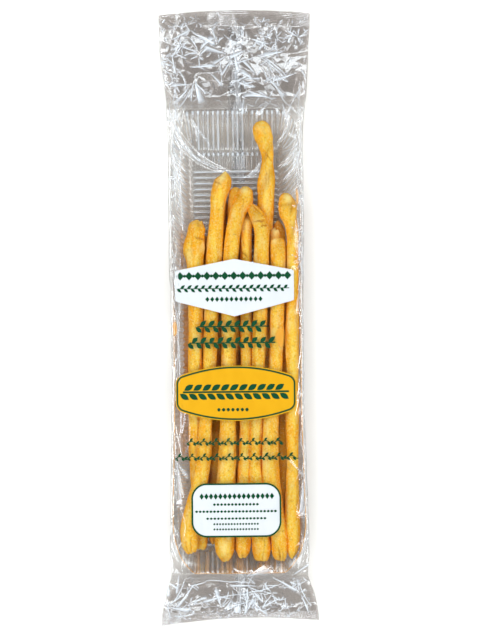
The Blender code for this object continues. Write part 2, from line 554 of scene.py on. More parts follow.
class ShaderTree(Nodes):
    """A material's node tree, with short ways to add what the finishes share."""

    def __init__(self, name: str) -> None:
        """Start a material with only its output.

        Args:
            name: The material's name.
        """
        self.material = bpy.data.materials.new(name)
        self.material.use_nodes = True
        super().__init__(self.material.node_tree)
        self.tree.nodes.clear()
        self.output = self.node("ShaderNodeOutputMaterial")
        self.coordinates = self.node("ShaderNodeTexCoord").outputs["Object"]

    def finished(self, surface: Socket) -> Material:
        """Give the material its surface and return it."""
        self.join(surface, self.output.inputs["Surface"])
        return self.material

    def noise(self, size_mm: float, detail: float = 2.0, stretch: Sequence[float] = (1, 1, 1)) -> Socket:
        """Noise on the object's own coordinates.

        Args:
            size_mm: The size of its features.
            detail: How much finer noise it holds.
            stretch: How far it is drawn out along each axis.

        Returns:
            Its value, about 0.5 on average.
        """
        feeds = {"Vector": self.coordinates, "Scale": tuple(1 / share for share in stretch)}
        scaled = self.node("ShaderNodeMapping", feeds).outputs["Vector"]
        feeds = {"Vector": scaled, "Scale": 1 / (size_mm * MM), "Detail": detail}
        return self.node("ShaderNodeTexNoise", feeds).outputs[0]

    def blend(self, share: object, first: object, second: object) -> Socket:
        """A colour that goes from the first to the second as share goes from 0 to 1."""
        return self.fed("ShaderNodeMix", share, first, second, data_type="RGBA")

    def mix(self, share: object, first: Socket, second: Socket) -> Socket:
        """A surface that goes from the first to the second as share goes from 0 to 1."""
        return self.fed("ShaderNodeMixShader", share, first, second)

    def matt(self, colour: Colour) -> Socket:
        """A matt surface of one colour."""
        return self.node("ShaderNodeBsdfDiffuse", {"Color": colour}).outputs[0]

    def opaque(self, colour: Socket, roughness: float, normal: Socket) -> Socket:
        """A solid surface with little shine.

        Args:
            colour: Its colour.
            roughness: How dull it is.
            normal: Its normal.

        Returns:
            The surface.
        """
        feeds = {"Base Color": colour, "Roughness": roughness, "Normal": normal}
        feeds["Specular IOR Level"] = FAINT_SHINE
        return self.node("ShaderNodeBsdfPrincipled", feeds).outputs[0]

    def attribute(self, name: str) -> Socket:
        """The value of an attribute stored on the mesh."""
        return self.node("ShaderNodeAttribute", attribute_name=name).outputs["Fac"]

    def bump(self, height: Socket, depth_mm: float) -> Socket:
        """A normal tilted by a height pattern of a given depth."""
        feeds = {"Strength": 1.0, "Distance": depth_mm * MM, "Height": height}
        return self.node("ShaderNodeBump", feeds).outputs["Normal"]


@dataclass(frozen=True)
class ClearFinish:
    """Thin clear plastic: what it lets through, its gloss, its fine crinkles and its haze.

    Plastic that is crumpled, or seen nearly edge on, lets less light through. Along its sharp bends it
    carries painted highlights, a pale bluish matt veil where the highlight attribute says so.
    """

    name: str
    clear: Colour
    slack: Colour
    edge: Colour
    stain: Colour
    mirror: float
    sheen: float
    roughness: float
    haze: float
    crinkle_mm: float
    veil: Colour = (0.87, 0.93, 1.0, 1)
    mottle_mm: float = 14.0
    mottle_share: float = 0.10
    crease_mm: float = 4.2
    edge_power: float = 0.8
    rim_power: float = 5.0
    amber_tint_share: float = 0.8

    def material(self) -> Material:
        """See-through plastic, dull where slack says so, with painted highlights where the highlight
        attribute says so and an amber tint where the amber attribute says so; on the tray and its rim that
        tint is a painted reflection of the bread.

        Returns:
            The material.
        """
        tree = ShaderTree(self.name)
        grazing = tree.node("ShaderNodeLayerWeight", {"Blend": 0.5}).outputs["Facing"]
        mottle = tree.ramp(tree.noise(self.mottle_mm), 0.3, 0.7)
        share = tree.maths("MULTIPLY_ADD", mottle, self.mottle_share, tree.attribute("slack"), clamp=True)
        colour = tree.blend(share, self.clear, self.slack)
        colour = tree.blend(tree.maths("POWER", grazing, self.edge_power, clamp=True), colour, self.edge)
        through = tree.node("ShaderNodeBsdfTransparent", {"Color": colour}).outputs[0]
        feeds = {"Color": (1, 1, 1, 1), "Roughness": self.roughness, "Normal": self.crinkled(tree, share)}
        gloss = tree.node("ShaderNodeBsdfAnisotropic", feeds).outputs[0]
        rim = tree.maths("POWER", grazing, self.rim_power)
        reflected = tree.maths("MULTIPLY_ADD", rim, 1 - self.mirror, self.mirror, clamp=True)
        reflected = tree.maths("MULTIPLY_ADD", tree.attribute("sheen"), self.sheen, reflected, clamp=True)
        skin = tree.mix(reflected, through, gloss)
        # Milky haze where the plastic is slack, plus the painted highlights: both a pale bluish matt veil.
        haze_and_highlight = tree.maths("MULTIPLY_ADD", share, self.haze, tree.attribute("frost"), clamp=True)
        veiled = tree.mix(haze_and_highlight, skin, tree.matt(self.veil))
        # An amber matt tint: on the tray walls and rim it is a painted reflection of the bread beside them.
        amber_tinted = tree.maths("MULTIPLY", tree.attribute("stain"), self.amber_tint_share, clamp=True)
        return tree.finished(tree.mix(amber_tinted, veiled, tree.matt(self.stain)))

    def crinkled(self, tree: ShaderTree, share: Socket) -> Socket:
        """A normal broken by fine wandering creases where the plastic is slack.

        Args:
            tree: The material's tree.
            share: How slack the plastic is.

        Returns:
            The normal.
        """
        folded = tree.maths("ABSOLUTE", tree.maths("MULTIPLY_ADD", tree.noise(self.crease_mm), 2.0, -1.0))
        creases = tree.maths("POWER", folded, 0.6)
        return tree.bump(tree.times(creases, share), self.crinkle_mm)


@dataclass(frozen=True)
class CrustFinish:
    """Baked dough: gold, deeper amber where it is more baked and, as painted shade, on its sides, and cream
    where it tore or kept its flour.
    """

    name: str
    gold: Colour
    amber: Colour
    toasted: Colour
    cream: Colour
    roughness: float
    grain_mm: float = 0.42
    streak_mm: float = 3.2
    streak_share: float = 0.50
    patch_mm: float = 9.0
    patch_share: float = 0.40
    pale_mm: float = 6.5
    pale_share: float = 0.55
    speck_mm: float = 1.15
    dark_specks: float = 0.52
    light_specks: float = 0.55
    pit_mm: float = 1.7
    pit_share: float = 0.34
    fleck_mm: float = 0.9
    fleck_share: float = 0.6

    def material(self) -> Material:
        """A matt crust with lengthwise streaks, a fine grain, pits, and the attributes that colour it.

        Returns:
            The material.
        """
        tree = ShaderTree(self.name)
        streaks = tree.ramp(tree.noise(self.streak_mm, 2.0, (1, 6, 1)), 0.42, 0.66)
        patches = tree.ramp(tree.noise(self.patch_mm, 2.0, (1, 2, 1)), 0.42, 0.66)
        streaks = tree.times(streaks, self.streak_share)
        browning_and_side_shade = tree.maths("MULTIPLY_ADD", patches, self.patch_share, streaks)
        # Painted shade: the attribute flank adds deeper amber on the sides and underside of each stick.
        browning_and_side_shade = tree.maths("ADD", browning_and_side_shade, tree.attribute("flank"), clamp=True)
        colour = tree.blend(browning_and_side_shade, self.gold, self.amber)
        grain = tree.noise(self.speck_mm, 4.0, (1, 1.3, 1))
        for value, low, high, share, tone in (
            (tree.noise(self.pale_mm, 2.0, (1, 2.4, 1)), 0.52, 0.74, self.pale_share, self.cream),
            (grain, 0.50, 0.70, self.dark_specks, self.amber),
            (grain, 0.50, 0.31, self.light_specks, self.cream),
        ):
            colour = tree.blend(tree.times(tree.ramp(value, low, high), share), colour, tone)
        # Browning, and the painted shade that darkens the lower sticks, take the colour towards toasted.
        colour = tree.blend(tree.attribute("bake"), colour, self.toasted)
        pits = tree.ramp(tree.noise(self.pit_mm, 1.0), 0.30, 0.36)
        pitted = tree.maths("MULTIPLY_ADD", pits, -self.pit_share, self.pit_share)
        colour = tree.blend(pitted, colour, self.toasted)
        flecks = tree.ramp(tree.noise(self.fleck_mm, 1.0), 0.64, 0.70)
        flecks = tree.times(flecks, self.fleck_share)
        torn = tree.maths("ADD", flecks, tree.attribute("cream"), clamp=True)
        colour = tree.blend(torn, colour, self.cream)
        normal = tree.bump(tree.maths("MULTIPLY_ADD", pits, 0.5, tree.noise(1.0, 4.0)), self.grain_mm)
        return tree.finished(tree.opaque(colour, self.roughness, normal))


@dataclass(frozen=True)
class InkFinish:
    """Opaque ink on the film."""

    name: str
    colour: Colour
    shade: Colour
    roughness: float = 0.5

    def material(self) -> Material:
        """Ink with a faint painted shade that mottles at random.

        Returns:
            The material.
        """
        tree = ShaderTree(self.name)
        cloud = tree.ramp(tree.noise(8, 2.0, (1, 2.2, 1)), 0.38, 0.70)
        colour, normal = tree.blend(cloud, self.colour, self.shade), tree.bump(tree.noise(1.2, 2.0), 0.01)
        return tree.finished(tree.opaque(colour, self.roughness, normal))


FILM_FINISH = ClearFinish(
    "clear_film", clear=(0.975, 0.972, 0.968, 1), slack=(0.720, 0.688, 0.668, 1), edge=(0.78, 0.765, 0.75, 1),
    stain=(0.72, 0.335, 0.045, 1), mirror=0.10, sheen=0.0, roughness=0.04, haze=0.03, crinkle_mm=0.016,
)
TRAY_FINISH = ClearFinish(
    "clear_tray", clear=(0.93, 0.92, 0.91, 1), slack=(0.755, 0.727, 0.706, 1), edge=(0.84, 0.83, 0.82, 1),
    stain=(1.0, 0.53, 0.13, 1), mirror=0.10, sheen=0.35, roughness=0.07, haze=0.02, crinkle_mm=0.01,
)
SEAM_FINISH = ClearFinish(
    "clear_seam", clear=(0.95, 0.945, 0.94, 1), slack=(0.93, 0.925, 0.92, 1), edge=(0.90, 0.90, 0.89, 1),
    stain=(0.62, 0.34, 0.10, 1), mirror=0.22, sheen=0.0, roughness=0.06, haze=0.42, crinkle_mm=0.02,
)
CRUST_FINISH = CrustFinish(
    "baked_crust", gold=(1.0, 0.66, 0.078, 1), amber=(0.96, 0.395, 0.008, 1), toasted=(0.47, 0.150, 0.003, 1),
    cream=(0.96, 0.745, 0.27, 1), roughness=0.75,
)
WHITE_INK = InkFinish("white_ink", (0.605, 0.61, 0.615, 1), (0.58, 0.592, 0.605, 1))
YELLOW_INK = InkFinish("yellow_ink", (0.63, 0.315, 0.003, 1), (0.61, 0.30, 0.002, 1))
GREEN_INK = InkFinish("green_ink", (0.001, 0.052, 0.018, 1), (0.001, 0.045, 0.015, 1))


# ---------------- the bag's form


@dataclass(frozen=True)
class BagForm:
    """The drawn form of the bag, section by section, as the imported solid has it."""

    length: float
    tail_width: float
    header_width: float = 111.2
    body_width: float = 97.0
    floor_width: float = 61.0
    rim_height: float = 23.5
    crown: float = 3.2
    seal_length: float = 8.0
    seal_gap: float = 0.10
    header_seal_z: float = 5.0
    tail_seal_z: float = 4.2
    header_arch: float = 3.0
    tail_hollow: float = 3.8
    header_tilt: float = 0.3
    tail_tilt: float = 1.5
    arch_fade: float = 30.0
    tray_top_rim: float = 152.0
    tray_top_floor: float = 121.0
    tray_tail_floor: float = -171.0
    tray_tail_rim: float = -187.0
    under_lift: float = 0.22

    @classmethod
    def from_frame(cls) -> BagForm:
        """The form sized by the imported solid's own box."""
        low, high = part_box(BAG_NODE)
        return cls(length=(high.y - low.y) / MM, tail_width=(high.x - low.x) / MM)

    @property
    def tail_end(self) -> float:
        """The tail's edge along the pack, at its corners."""
        return -self.length / 2

    @property
    def header_end(self) -> float:
        """The header's edge along the pack, at its corners."""
        return self.length / 2 - self.header_arch

    def profiles(self, y: Array) -> dict[str, Array]:
        """Half widths and heights of the sections at the given places.

        Args:
            y: Places along the pack.

        Returns:
            half (of the width), floor (half of the flat underside), under, rim and crown, as arrays.
        """
        half, floor = self.body_width / 2, self.floor_width / 2
        tail, header, lift = self.tail_width / 2, self.header_width / 2, self.under_lift
        rows = (
            (self.tail_end, tail, tail - 1, self.tail_seal_z, self.tail_seal_z + self.seal_gap, 0.0),
            (
                self.tail_end + self.seal_length, tail - 0.6, tail - 2, self.tail_seal_z,
                self.tail_seal_z + self.seal_gap, 0.0,
            ),
            (self.tray_tail_rim - 13, tail - 4.6, tail - 9, 2.6, 8.0, 2.0),
            (self.tray_tail_rim - 6.0, half + 2.6, floor + 8.5, 1.3, 11.8, 2.6),
            (self.tray_tail_rim - 1.6, half + 1.4, floor + 6, 0.7, self.rim_height - 4.2, self.crown),
            (self.tray_tail_rim + 1.4, half + 1.1, floor + 5, 0.5, self.rim_height - 0.5, self.crown),
            (self.tray_tail_floor, half + 2.1, floor + 1.5, lift, self.rim_height, self.crown),
            (-110.0, half + 0.8, floor, lift, self.rim_height, self.crown),
            (-60.0, half - 0.3, floor, lift, self.rim_height, self.crown),
            (0.0, half - 0.3, floor, lift, self.rim_height, self.crown),
            (60.0, half + 0.5, floor, lift, self.rim_height, self.crown),
            (self.tray_top_floor, half + 0.5, floor + 1, lift, self.rim_height, self.crown),
            (self.tray_top_rim, half + 1.8, floor + 6, 1.2, self.rim_height - 0.8, self.crown),
            (self.tray_top_rim + 5, half + 2.2, floor + 8, 1.6, 13.0, 2.8),
            (self.tray_top_rim + 10, half + 3.0, floor + 10, 2.0, 9.6, 2.4),
            (self.tray_top_rim + 24, header - 3.0, floor + 14, 2.6, 7.8, 2.0),
            (
                self.header_end - self.seal_length, header - 0.2, header - 1.6, self.header_seal_z,
                self.header_seal_z + self.seal_gap, 0.0,
            ),
            (
                self.header_end, header, header - 1, self.header_seal_z, self.header_seal_z + self.seal_gap,
                0.0,
            ),
        )
        places = [row[0] for row in rows]
        names = ("half", "floor", "under", "rim", "crown")
        return {name: curve_through(places, [row[k + 1] for row in rows], y) for k, name in enumerate(names)}

    def end_shift(self, across: Array, y: Array) -> Array:
        """How far the rows are bowed along the pack, so that the seals have the curve of their edges.

        Args:
            across: Places across the pack, -1 to 1.
            y: Places along the pack.

        Returns:
            Shifts along the pack.
        """
        header = np.clip(1 - (self.header_end - y) / self.arch_fade, 0, None)
        tail = np.clip(1 - (y - self.tail_end) / self.arch_fade, 0, None)
        arch = (1 - across**2) * (self.header_arch * header + self.tail_hollow * tail)
        return arch + header * (0.9 + self.header_tilt * across) + tail * (0.3 + self.tail_tilt * across)

    def slackness(self, y: Array) -> Array:
        """How loose the film is: near 0 over the tray, and 1 in the header and the tail."""
        header = ease((y - self.tray_top_rim + 13) / 26)
        return np.maximum(header, ease((self.tray_tail_rim + 12 - y) / 20))

    def in_seal(self, y: Array) -> Array:
        """1 inside the two crimped seals and 0 between them."""
        header = ease((y - self.header_end + self.seal_length + 1.5) / 2)
        return np.maximum(header, ease((self.tail_end + self.seal_length + 1.5 - y) / 2))


# ---------------- creased film


@dataclass(frozen=True)
class Facets:
    """Film broken into flat facets that meet at sharp creases, over a sheet that closes on itself.

    The facets are the triangles of a random triangulation with a random height at each corner.
    """

    around: float
    low: float
    high: float
    cell: tuple[float, float]
    lift: float
    seed: int
    step: float = 0.4

    def raster(self) -> Array:
        """The height of the facets on a fine regular grid, rows along the pack.

        Returns:
            Heights, one row of them for each step along the pack.
        """
        draw = np.random.default_rng(self.seed)
        span = self.high - self.low
        count_s, count_y = round(self.around / self.cell[0]), round(span / self.cell[1]) + 2
        i, j = np.meshgrid(np.arange(count_s), np.arange(-1, count_y), indexing="ij")
        s = (i + draw.uniform(0.05, 0.95, i.shape)).ravel() * self.around / count_s
        y = (j + draw.uniform(0.05, 0.95, j.shape)).ravel() * self.cell[1]
        h = self.lift * np.sign(draw.uniform(-1, 1, s.size)) * draw.uniform(0.15, 1.0, s.size) ** 1.4
        margin = 3 * self.cell[0]
        left, right = s < margin, s > self.around - margin
        s = np.concatenate([s, s[left] + self.around, s[right] - self.around])
        y = np.concatenate([y, y[left], y[right]])
        h = np.concatenate([h, h[left], h[right]])
        flat = [Vector((a, b)) for a, b in zip(s.tolist(), y.tolist())]
        _, _, faces, origins, _, _ = delaunay_2d_cdt(flat, [], [], 0, 1e-6)
        corner = np.array([o[0] for o in origins])
        s, y, h = s[corner] / self.step, y[corner] / self.step, h[corner]
        columns, rows = round(self.around / self.step), round(span / self.step) + 1
        sheet = np.zeros((rows, columns), np.float32)
        for face in faces:
            fs, fy, fh = s[face], y[face], h[face]
            s0, s1 = max(math.ceil(fs.min()), 0), min(math.floor(fs.max()), columns - 1)
            y0, y1 = max(math.ceil(fy.min()), 0), min(math.floor(fy.max()), rows - 1)
            if s1 < s0 or y1 < y0:
                continue
            gs, gy = np.meshgrid(np.arange(s0, s1 + 1), np.arange(y0, y1 + 1))
            area = (fs[1] - fs[0]) * (fy[2] - fy[0]) - (fs[2] - fs[0]) * (fy[1] - fy[0])
            if abs(area) < 1e-9:
                continue
            b = ((gs - fs[0]) * (fy[2] - fy[0]) - (fs[2] - fs[0]) * (gy - fy[0])) / area
            c = ((fs[1] - fs[0]) * (gy - fy[0]) - (gs - fs[0]) * (fy[1] - fy[0])) / area
            inside = (b >= -1e-6) & (c >= -1e-6) & (b + c <= 1 + 1e-6)
            plane = fh[0] + b * (fh[1] - fh[0]) + c * (fh[2] - fh[0])
            block = sheet[y0 : y1 + 1, s0 : s1 + 1]
            block[inside] = plane[inside]
        return sheet

    def sample(self, sheet: Array, s: Array, y: Array) -> Array:
        """Read the facets' height at places on the film.

        Args:
            sheet: The grid from raster.
            s: Places round the film.
            y: Places along the pack.

        Returns:
            Heights of the shape of s and y.
        """
        rows, columns = sheet.shape
        ps = np.mod(s / self.step, columns)
        py = np.clip((y - self.low) / self.step, 0, rows - 1.001)
        i, j = ps.astype(int) % columns, py.astype(int)
        fs, fy = ps - np.floor(ps), py - j
        k = (i + 1) % columns
        low = sheet[j, i] * (1 - fs) + sheet[j, k] * fs
        high = sheet[j + 1, i] * (1 - fs) + sheet[j + 1, k] * fs
        return low * (1 - fy) + high * fy


@dataclass(frozen=True)
class Pinch:
    """One sharp crease: a ridge along a bowed line, as steep on one side as steepness makes it."""

    start: tuple[float, float]
    end: tuple[float, float]
    bow: float
    width: float
    height: float
    steepness: float = 0.35
    # white: the strength of the painted highlight along the crest.
    white: float = 0.75

    def span(self) -> tuple[float, float]:
        """The lowest and highest y that the crease may reach."""
        margin = self.width + abs(self.bow)
        return min(self.start[1], self.end[1]) - margin, max(self.start[1], self.end[1]) + margin

    def press(self, x: Array, y: Array) -> tuple[Array, Array]:
        """The ridge's height, and its painted highlight, at places on the film.

        Args:
            x: Places across the pack.
            y: Places along it.

        Returns:
            Heights and painted highlights of the shape of x and y.
        """
        ax, ay = self.start
        dx, dy = self.end[0] - ax, self.end[1] - ay
        reach = math.hypot(dx, dy)
        ux, uy = dx / reach, dy / reach
        along = ((x - ax) * ux + (y - ay) * uy) / reach
        inside = (along > 0) & (along < 1)
        t = np.clip(along, 0, 1)
        taper = np.sqrt(np.sin(math.pi * t))
        across = (y - ay) * ux - (x - ax) * uy - self.bow * 4 * t * (1 - t)
        wide = np.maximum(self.width * taper, 1e-6)
        gentle = 1 - across / wide
        steep = 1 + across / (wide * self.steepness)
        crest = np.clip(np.where(across > 0, gentle, steep), 0, 1)
        # A painted highlight line along the crest.
        line = np.clip(1 - np.abs(across) / 0.42, 0, 1) * taper
        return np.where(inside, self.height * taper * crest, 0.0), np.where(inside, self.white * line, 0.0)


@dataclass(frozen=True)
class Blade:
    """A wedge of film raised from a point: two flat flanks that widen from a sharp ridge, then end.

    Tilt is the slope of the wider flank in degrees, below 0 for a groove, skew the share of the spread
    on the ridge's left, close the share of the length over which the wedge ends, and white the strength
    of the painted highlight on the wider flank.
    """

    apex: tuple[float, float]
    end: tuple[float, float]
    spread: float
    tilt: float
    skew: float = 0.5
    bow: float = 0.0
    white: float = 0.30
    close: float = 0.24

    def span(self) -> tuple[float, float]:
        """The lowest and highest y that the wedge may reach."""
        margin = self.spread + abs(self.bow)
        return min(self.apex[1], self.end[1]) - margin, max(self.apex[1], self.end[1]) + margin

    def press(self, x: Array, y: Array) -> tuple[Array, Array]:
        """The wedge's height, and its painted highlight, at places on the film.

        Args:
            x: Places across the pack.
            y: Places along it.

        Returns:
            Heights and painted highlights of the shape of x and y.
        """
        ax, ay = self.apex
        dx, dy = self.end[0] - ax, self.end[1] - ay
        reach = math.hypot(dx, dy)
        along = ((x - ax) * dx + (y - ay) * dy) / reach**2
        inside = (along > 0) & (along < 1)
        t = np.clip(along, 0, 1)
        across = ((y - ay) * dx - (x - ax) * dy) / reach - self.bow * 4 * t * (1 - t)
        wide = self.spread * (0.03 + 0.97 * t)
        left = across > 0
        off = np.abs(across) / (wide * np.where(left, self.skew, 1 - self.skew))
        ending = np.clip((1 - t) / self.close, 0, 1)
        top = math.tan(math.radians(self.tilt)) * max(self.skew, 1 - self.skew) * wide * ending
        wider = left == (self.skew >= 0.5)
        # Painted highlights: on the wider flank, and a line along the crest.
        flank_highlight = self.white * wider * np.clip(1 - off, 0, 1) ** 1.2 * ease(t / 0.35) * ease(ending)
        ridge = 0.8 * np.clip(1 - np.abs(across) / 0.38, 0, 1) * ease(ending) * ease(4 * t)
        height = np.where(inside, top * np.clip(1 - off, 0, 1), 0.0)
        return height, np.where(inside, np.maximum(flank_highlight, ridge), 0.0)


Fold = Pinch | Blade


@dataclass(frozen=True)
class Crumple:
    """Chance folds over a box of the film: fans of blades from points, and hairline creases.

    The box is its lowest x and y and its highest x and y, and reach the shortest and longest blade.
    """

    box: tuple[float, float, float, float]
    fans: int
    creases: int
    reach: tuple[float, float]
    seed: int
    lift: float = 1.0
    hair: tuple[float, float] = (3.0, 14.0)
    lean: float = 0.0
    swing: float = math.pi

    def folds(self) -> list[Fold]:
        """Draw the folds.

        Returns:
            The blades and creases, in the order of their drawing.
        """
        draw = np.random.default_rng(self.seed)
        made: list[Fold] = []
        for _ in range(self.fans):
            apex = self.somewhere(draw)
            heading = self.lean + draw.uniform(-self.swing, self.swing)
            for _ in range(draw.integers(2, 5)):
                reach = draw.uniform(*self.reach) * draw.uniform(0.5, 1.0)
                spread = reach * draw.uniform(0.14, 0.55)
                tilt = draw.uniform(12, 23) * draw.choice((-1, 1)) * self.lift
                end = self.beyond(apex, heading, reach)
                skew, bow = draw.uniform(0.2, 0.8), reach * draw.uniform(-0.08, 0.08)
                made.append(Blade(apex, end, spread, tilt, skew, bow, draw.uniform(0.1, 0.85) ** 1.6))
                heading += draw.uniform(0.45, 1.5)
            for _ in range(draw.integers(1, 4)):
                made.append(self.hairline(draw, apex))
        for _ in range(self.creases):
            made.append(self.hairline(draw, self.somewhere(draw)))
        return made

    def somewhere(self, draw: np.random.Generator) -> tuple[float, float]:
        """A chance place in the box."""
        return float(draw.uniform(self.box[0], self.box[2])), float(draw.uniform(self.box[1], self.box[3]))

    @staticmethod
    def beyond(start: tuple[float, float], heading: float, reach: float) -> tuple[float, float]:
        """The place at a distance from another, in a direction in radians from +X."""
        return start[0] + reach * math.cos(heading), start[1] + reach * math.sin(heading)

    def hairline(self, draw: np.random.Generator, start: tuple[float, float]) -> Pinch:
        """One thin crease from a place.

        Args:
            draw: The source of chance.
            start: Where the crease starts.

        Returns:
            The crease.
        """
        heading = self.lean + draw.uniform(-self.swing, self.swing)
        reach = self.hair[0] + (self.hair[1] - self.hair[0]) * draw.beta(1.2, 2.6)
        width = draw.uniform(0.40, 0.75)
        height = width * draw.uniform(0.30, 0.48) * draw.choice((-1, 1))
        bow = reach * draw.uniform(-0.12, 0.12)
        # The strength of the crease's painted highlight.
        white = draw.uniform(0.25, 0.85)
        return Pinch(start, self.beyond(start, heading, reach), bow, width, height, 1.0, white)


class FilmSpan(Enum):
    """The four lengths of film, each a piece of its own."""

    TAIL = "film_tail"
    LOWER = "film_lower"
    UPPER = "film_upper"
    HEADER = "film_header"


HEADER_FOLDS: tuple[Fold, ...] = (
    Blade((-29.6, 174.5), (-26, 155), 10, 18, 0.78, white=0.95),
    Blade((-30.6, 174), (-32, 157.5), 4.2, -19, 0.3, white=0.43),
    Blade((-31.7, 171), (-47.5, 154.5), 7, 18, 0.65, white=0.61),
    Blade((-32, 172), (-49, 170), 6, -18, 0.35, white=0.51),
    Blade((-31, 170), (-41.5, 150), 4.5, 20, 0.35, white=0.51),
    Blade((-29, 172.5), (-20, 163), 3, 19, 0.6, white=0.51),
    Blade((-31.5, 209.5), (-12.5, 200), 6, 18, 0.24, 1.2, white=0.90),
    Blade((-31, 206.5), (-14.5, 201), 3, -19, 0.6, 0.8, white=0.58),
    Blade((-34.5, 184), (-12, 184.5), 6.5, 17, 0.62, white=0.72),
    Blade((-4.5, 193), (-24, 200.5), 9, 17, 0.65, white=0.61),
    Blade((-5, 193), (-17, 185), 6, -18, 0.3, white=0.52),
    Blade((14.8, 173), (3, 180), 9.5, 18, 0.45, white=0.87),
    Blade((14.6, 172.6), (6, 170.5), 5, -18, 0.45, white=0.43),
    Blade((38, 196), (19.5, 190.5), 8, 17, 0.30, white=0.75),
    Blade((31, 158.5), (3.5, 161.5), 6.5, 18, 0.30, -1.2, white=0.75),
    Blade((30, 158), (8, 166.5), 5, 19, 0.6, white=0.58),
    Blade((21, 178.5), (37, 158.5), 4.6, 18, 0.6, 1, white=0.58),
    Blade((34, 157.5), (37.5, 140), 6, 18, 0.5, white=0.61),
    Blade((-47, 204), (-31, 212.5), 4.6, 18, 0.5, white=0.65),
    Blade((6.9, 163), (4.4, 146.5), 5.4, 18, 0.5, white=0.75),
    Blade((-1.5, 199), (2, 178), 7, 16, 0.5, white=0.72),
    Blade((8.5, 196.5), (-4.5, 189), 7, 18, 0.4, white=0.80),
    Blade((46, 179), (26.5, 172.5), 6.5, 17, 0.45, white=0.70),
    Blade((-18, 180), (-9, 168.5), 5, 18, 0.65, white=0.58),
    Blade((-2, 190), (-10, 176.5), 5.5, -18, 0.4, white=0.51),
    Blade((27, 200.5), (14, 204), 5, 18, 0.5, white=0.65),
    Blade((44.5, 212), (38.5, 201), 5, 19, 0.5, white=0.72),
    Blade((-46, 193), (-43, 178), 5, 18, 0.4, white=0.61),
    Blade((-40.5, 201), (-46, 192), 4, -18, 0.5, white=0.58),
    Pinch((16.5, 193), (39.5, 172.5), 1.2, 0.6, 0.30, 1, 0.95),
    Pinch((17.8, 193.4), (40.5, 174), 1.6, 0.5, 0.22, 1, 0.9),
    Pinch((-8, 184.5), (15, 191), -0.6, 0.6, 0.28, 1, 1),
    Pinch((30, 172), (47.5, 146), -3, 0.7, 0.30, 1, 0.9),
    Pinch((49.5, 170), (35, 138), -1.5, 0.6, 0.26, 1, 0.9),
    Pinch((-13, 199.5), (-9.5, 165), 1, 0.6, 0.25, 1, 0.6),
    Pinch((-46.5, 186), (-38, 160), 5.5, 0.6, 0.28, 1, 0.8),
)
TAIL_FOLDS: tuple[Fold, ...] = (
    Blade((-31, -192), (-49, -215), 6.5, 18, 0.5, white=0.72),
    Blade((-17, -219), (-2, -211), 5, 18, 0.5, white=0.58),
    Blade((37, -188), (52.5, -179), 5, 18, 0.5, white=0.72),
    Blade((21, -187.5), (44.5, -201), 7, 18, 0.4, white=0.72),
    Blade((15, -197), (-10, -195), 6.5, 18, 0.5, white=0.72),
    Blade((6, -202), (2.5, -219), 7, 18, 0.5, white=0.72),
    Blade((-44, -185), (-47.5, -204), 5.5, 18, 0.5, white=0.65),
    Blade((44, -202), (51, -220), 5.5, 18, 0.5, white=0.65),
    Blade((-6, -203), (-29, -210.5), 5.5, -17, 0.4, white=0.58),
    Blade((31, -206), (14, -213), 5, 18, 0.5, white=0.58),
    Blade((-24, -194), (-38, -196.5), 4.5, 18, 0.5, white=0.58),
    Pinch((-31, -210.5), (-5, -203.5), 0.8, 0.7, 0.32, 1, 1),
    Pinch((-8, -204), (31.5, -194.5), -1.4, 0.8, 0.34, 1, 1),
    Pinch((-26, -193), (12, -194.6), 0.8, 0.7, 0.30, 1, 0.9),
    Pinch((-40, -190), (-52, -212), 1.5, 0.7, 0.30, 1, 0.9),
    Pinch((42, -190), (53, -214), -1.5, 0.7, 0.30, 1, 0.9),
)
SIDE_FOLDS: tuple[Fold, ...] = (
    Pinch((-45.4, 12), (-42.6, -20), 0.6, 0.9, 0.5, 1.2, 0.95),
    Pinch((-42.6, -17), (-42.3, -56), 0, 1.1, 0.5, 1.2, 0.95),
    Pinch((-47, 142), (-3, 105.5), -8, 4.6, 1.65, 0.6, 0.9),
    Pinch((-46.5, 151), (-25, 113), -3.5, 2.8, 1.05, 0.6, 0.95),
    Pinch((-47, 131), (-36, 96), -3.5, 2.6, 0.95, 0.6, 0.9),
    Pinch((-46, 147), (-33, 116), -4, 1, 0.40, 0.8, 1),
    Pinch((-45.5, 139), (-34, 104), -4.5, 1.2, 0.45, 0.8, 0.9),
    Pinch((-44, 118), (-38.5, 62), 1, 1.6, 0.5, 0.8, 0.9),
    Pinch((-33, 143), (-17, 122), 1.2, 0.9, 0.35, 1, 1),
    Pinch((-30, 144), (-28, 127), 0.8, 0.9, 0.35, 1, 0.9), Pinch((47, 143), (30, 108), 6, 3.6, 1.2, 0.5, 0.9),
    Pinch((40, 148), (28, 125), 3, 2.2, 0.9, 0.5, 0.95), Pinch((47, 122), (33, 98), 2.5, 1.8, 0.7, 0.6, 0.9),
    Pinch((18, 113.5), (3, 100.5), 2.6, 1.5, 0.55, 0.6, 0.9),
    Pinch((18.2, 109.5), (6, 101), 1.8, 1.1, 0.42, 0.6, 0.9),
    Blade((-42, 131), (-24, 112), 4, 18, 0.7, -2, white=0.65),
    Blade((38, 66.5), (51, 59), 3, 19, 0.5, white=0.87),
    Blade((48.5, -117), (35, -101.5), 2.6, 19, 0.5, white=0.95),
    Blade((46.5, -118.5), (43, -145), 8.5, 19, 0.72, white=0.95),
    Blade((-46, -97), (-41, -138), 7, 18, 0.4, white=0.72),
    Blade((-47, -103), (-36.5, -116), 4, 18, 0.5, white=0.72),
    Blade((-46, 40), (-41, 18), 4.4, 18, 0.5, white=0.72), Blade((47, 26), (42, 2), 4.4, 18, 0.5, white=0.65),
)


AMBER_PATCHES = ((31.5, -14.0, 4.2, 9.5), (-45.4, -8.0, 1.8, 6.5), (44.6, 88.0, 1.5, 7.0))
# Patches of amber tint on the film, as x, y, half width and half length.
"""Patches of oil on the film, as x, y, half width and half length."""


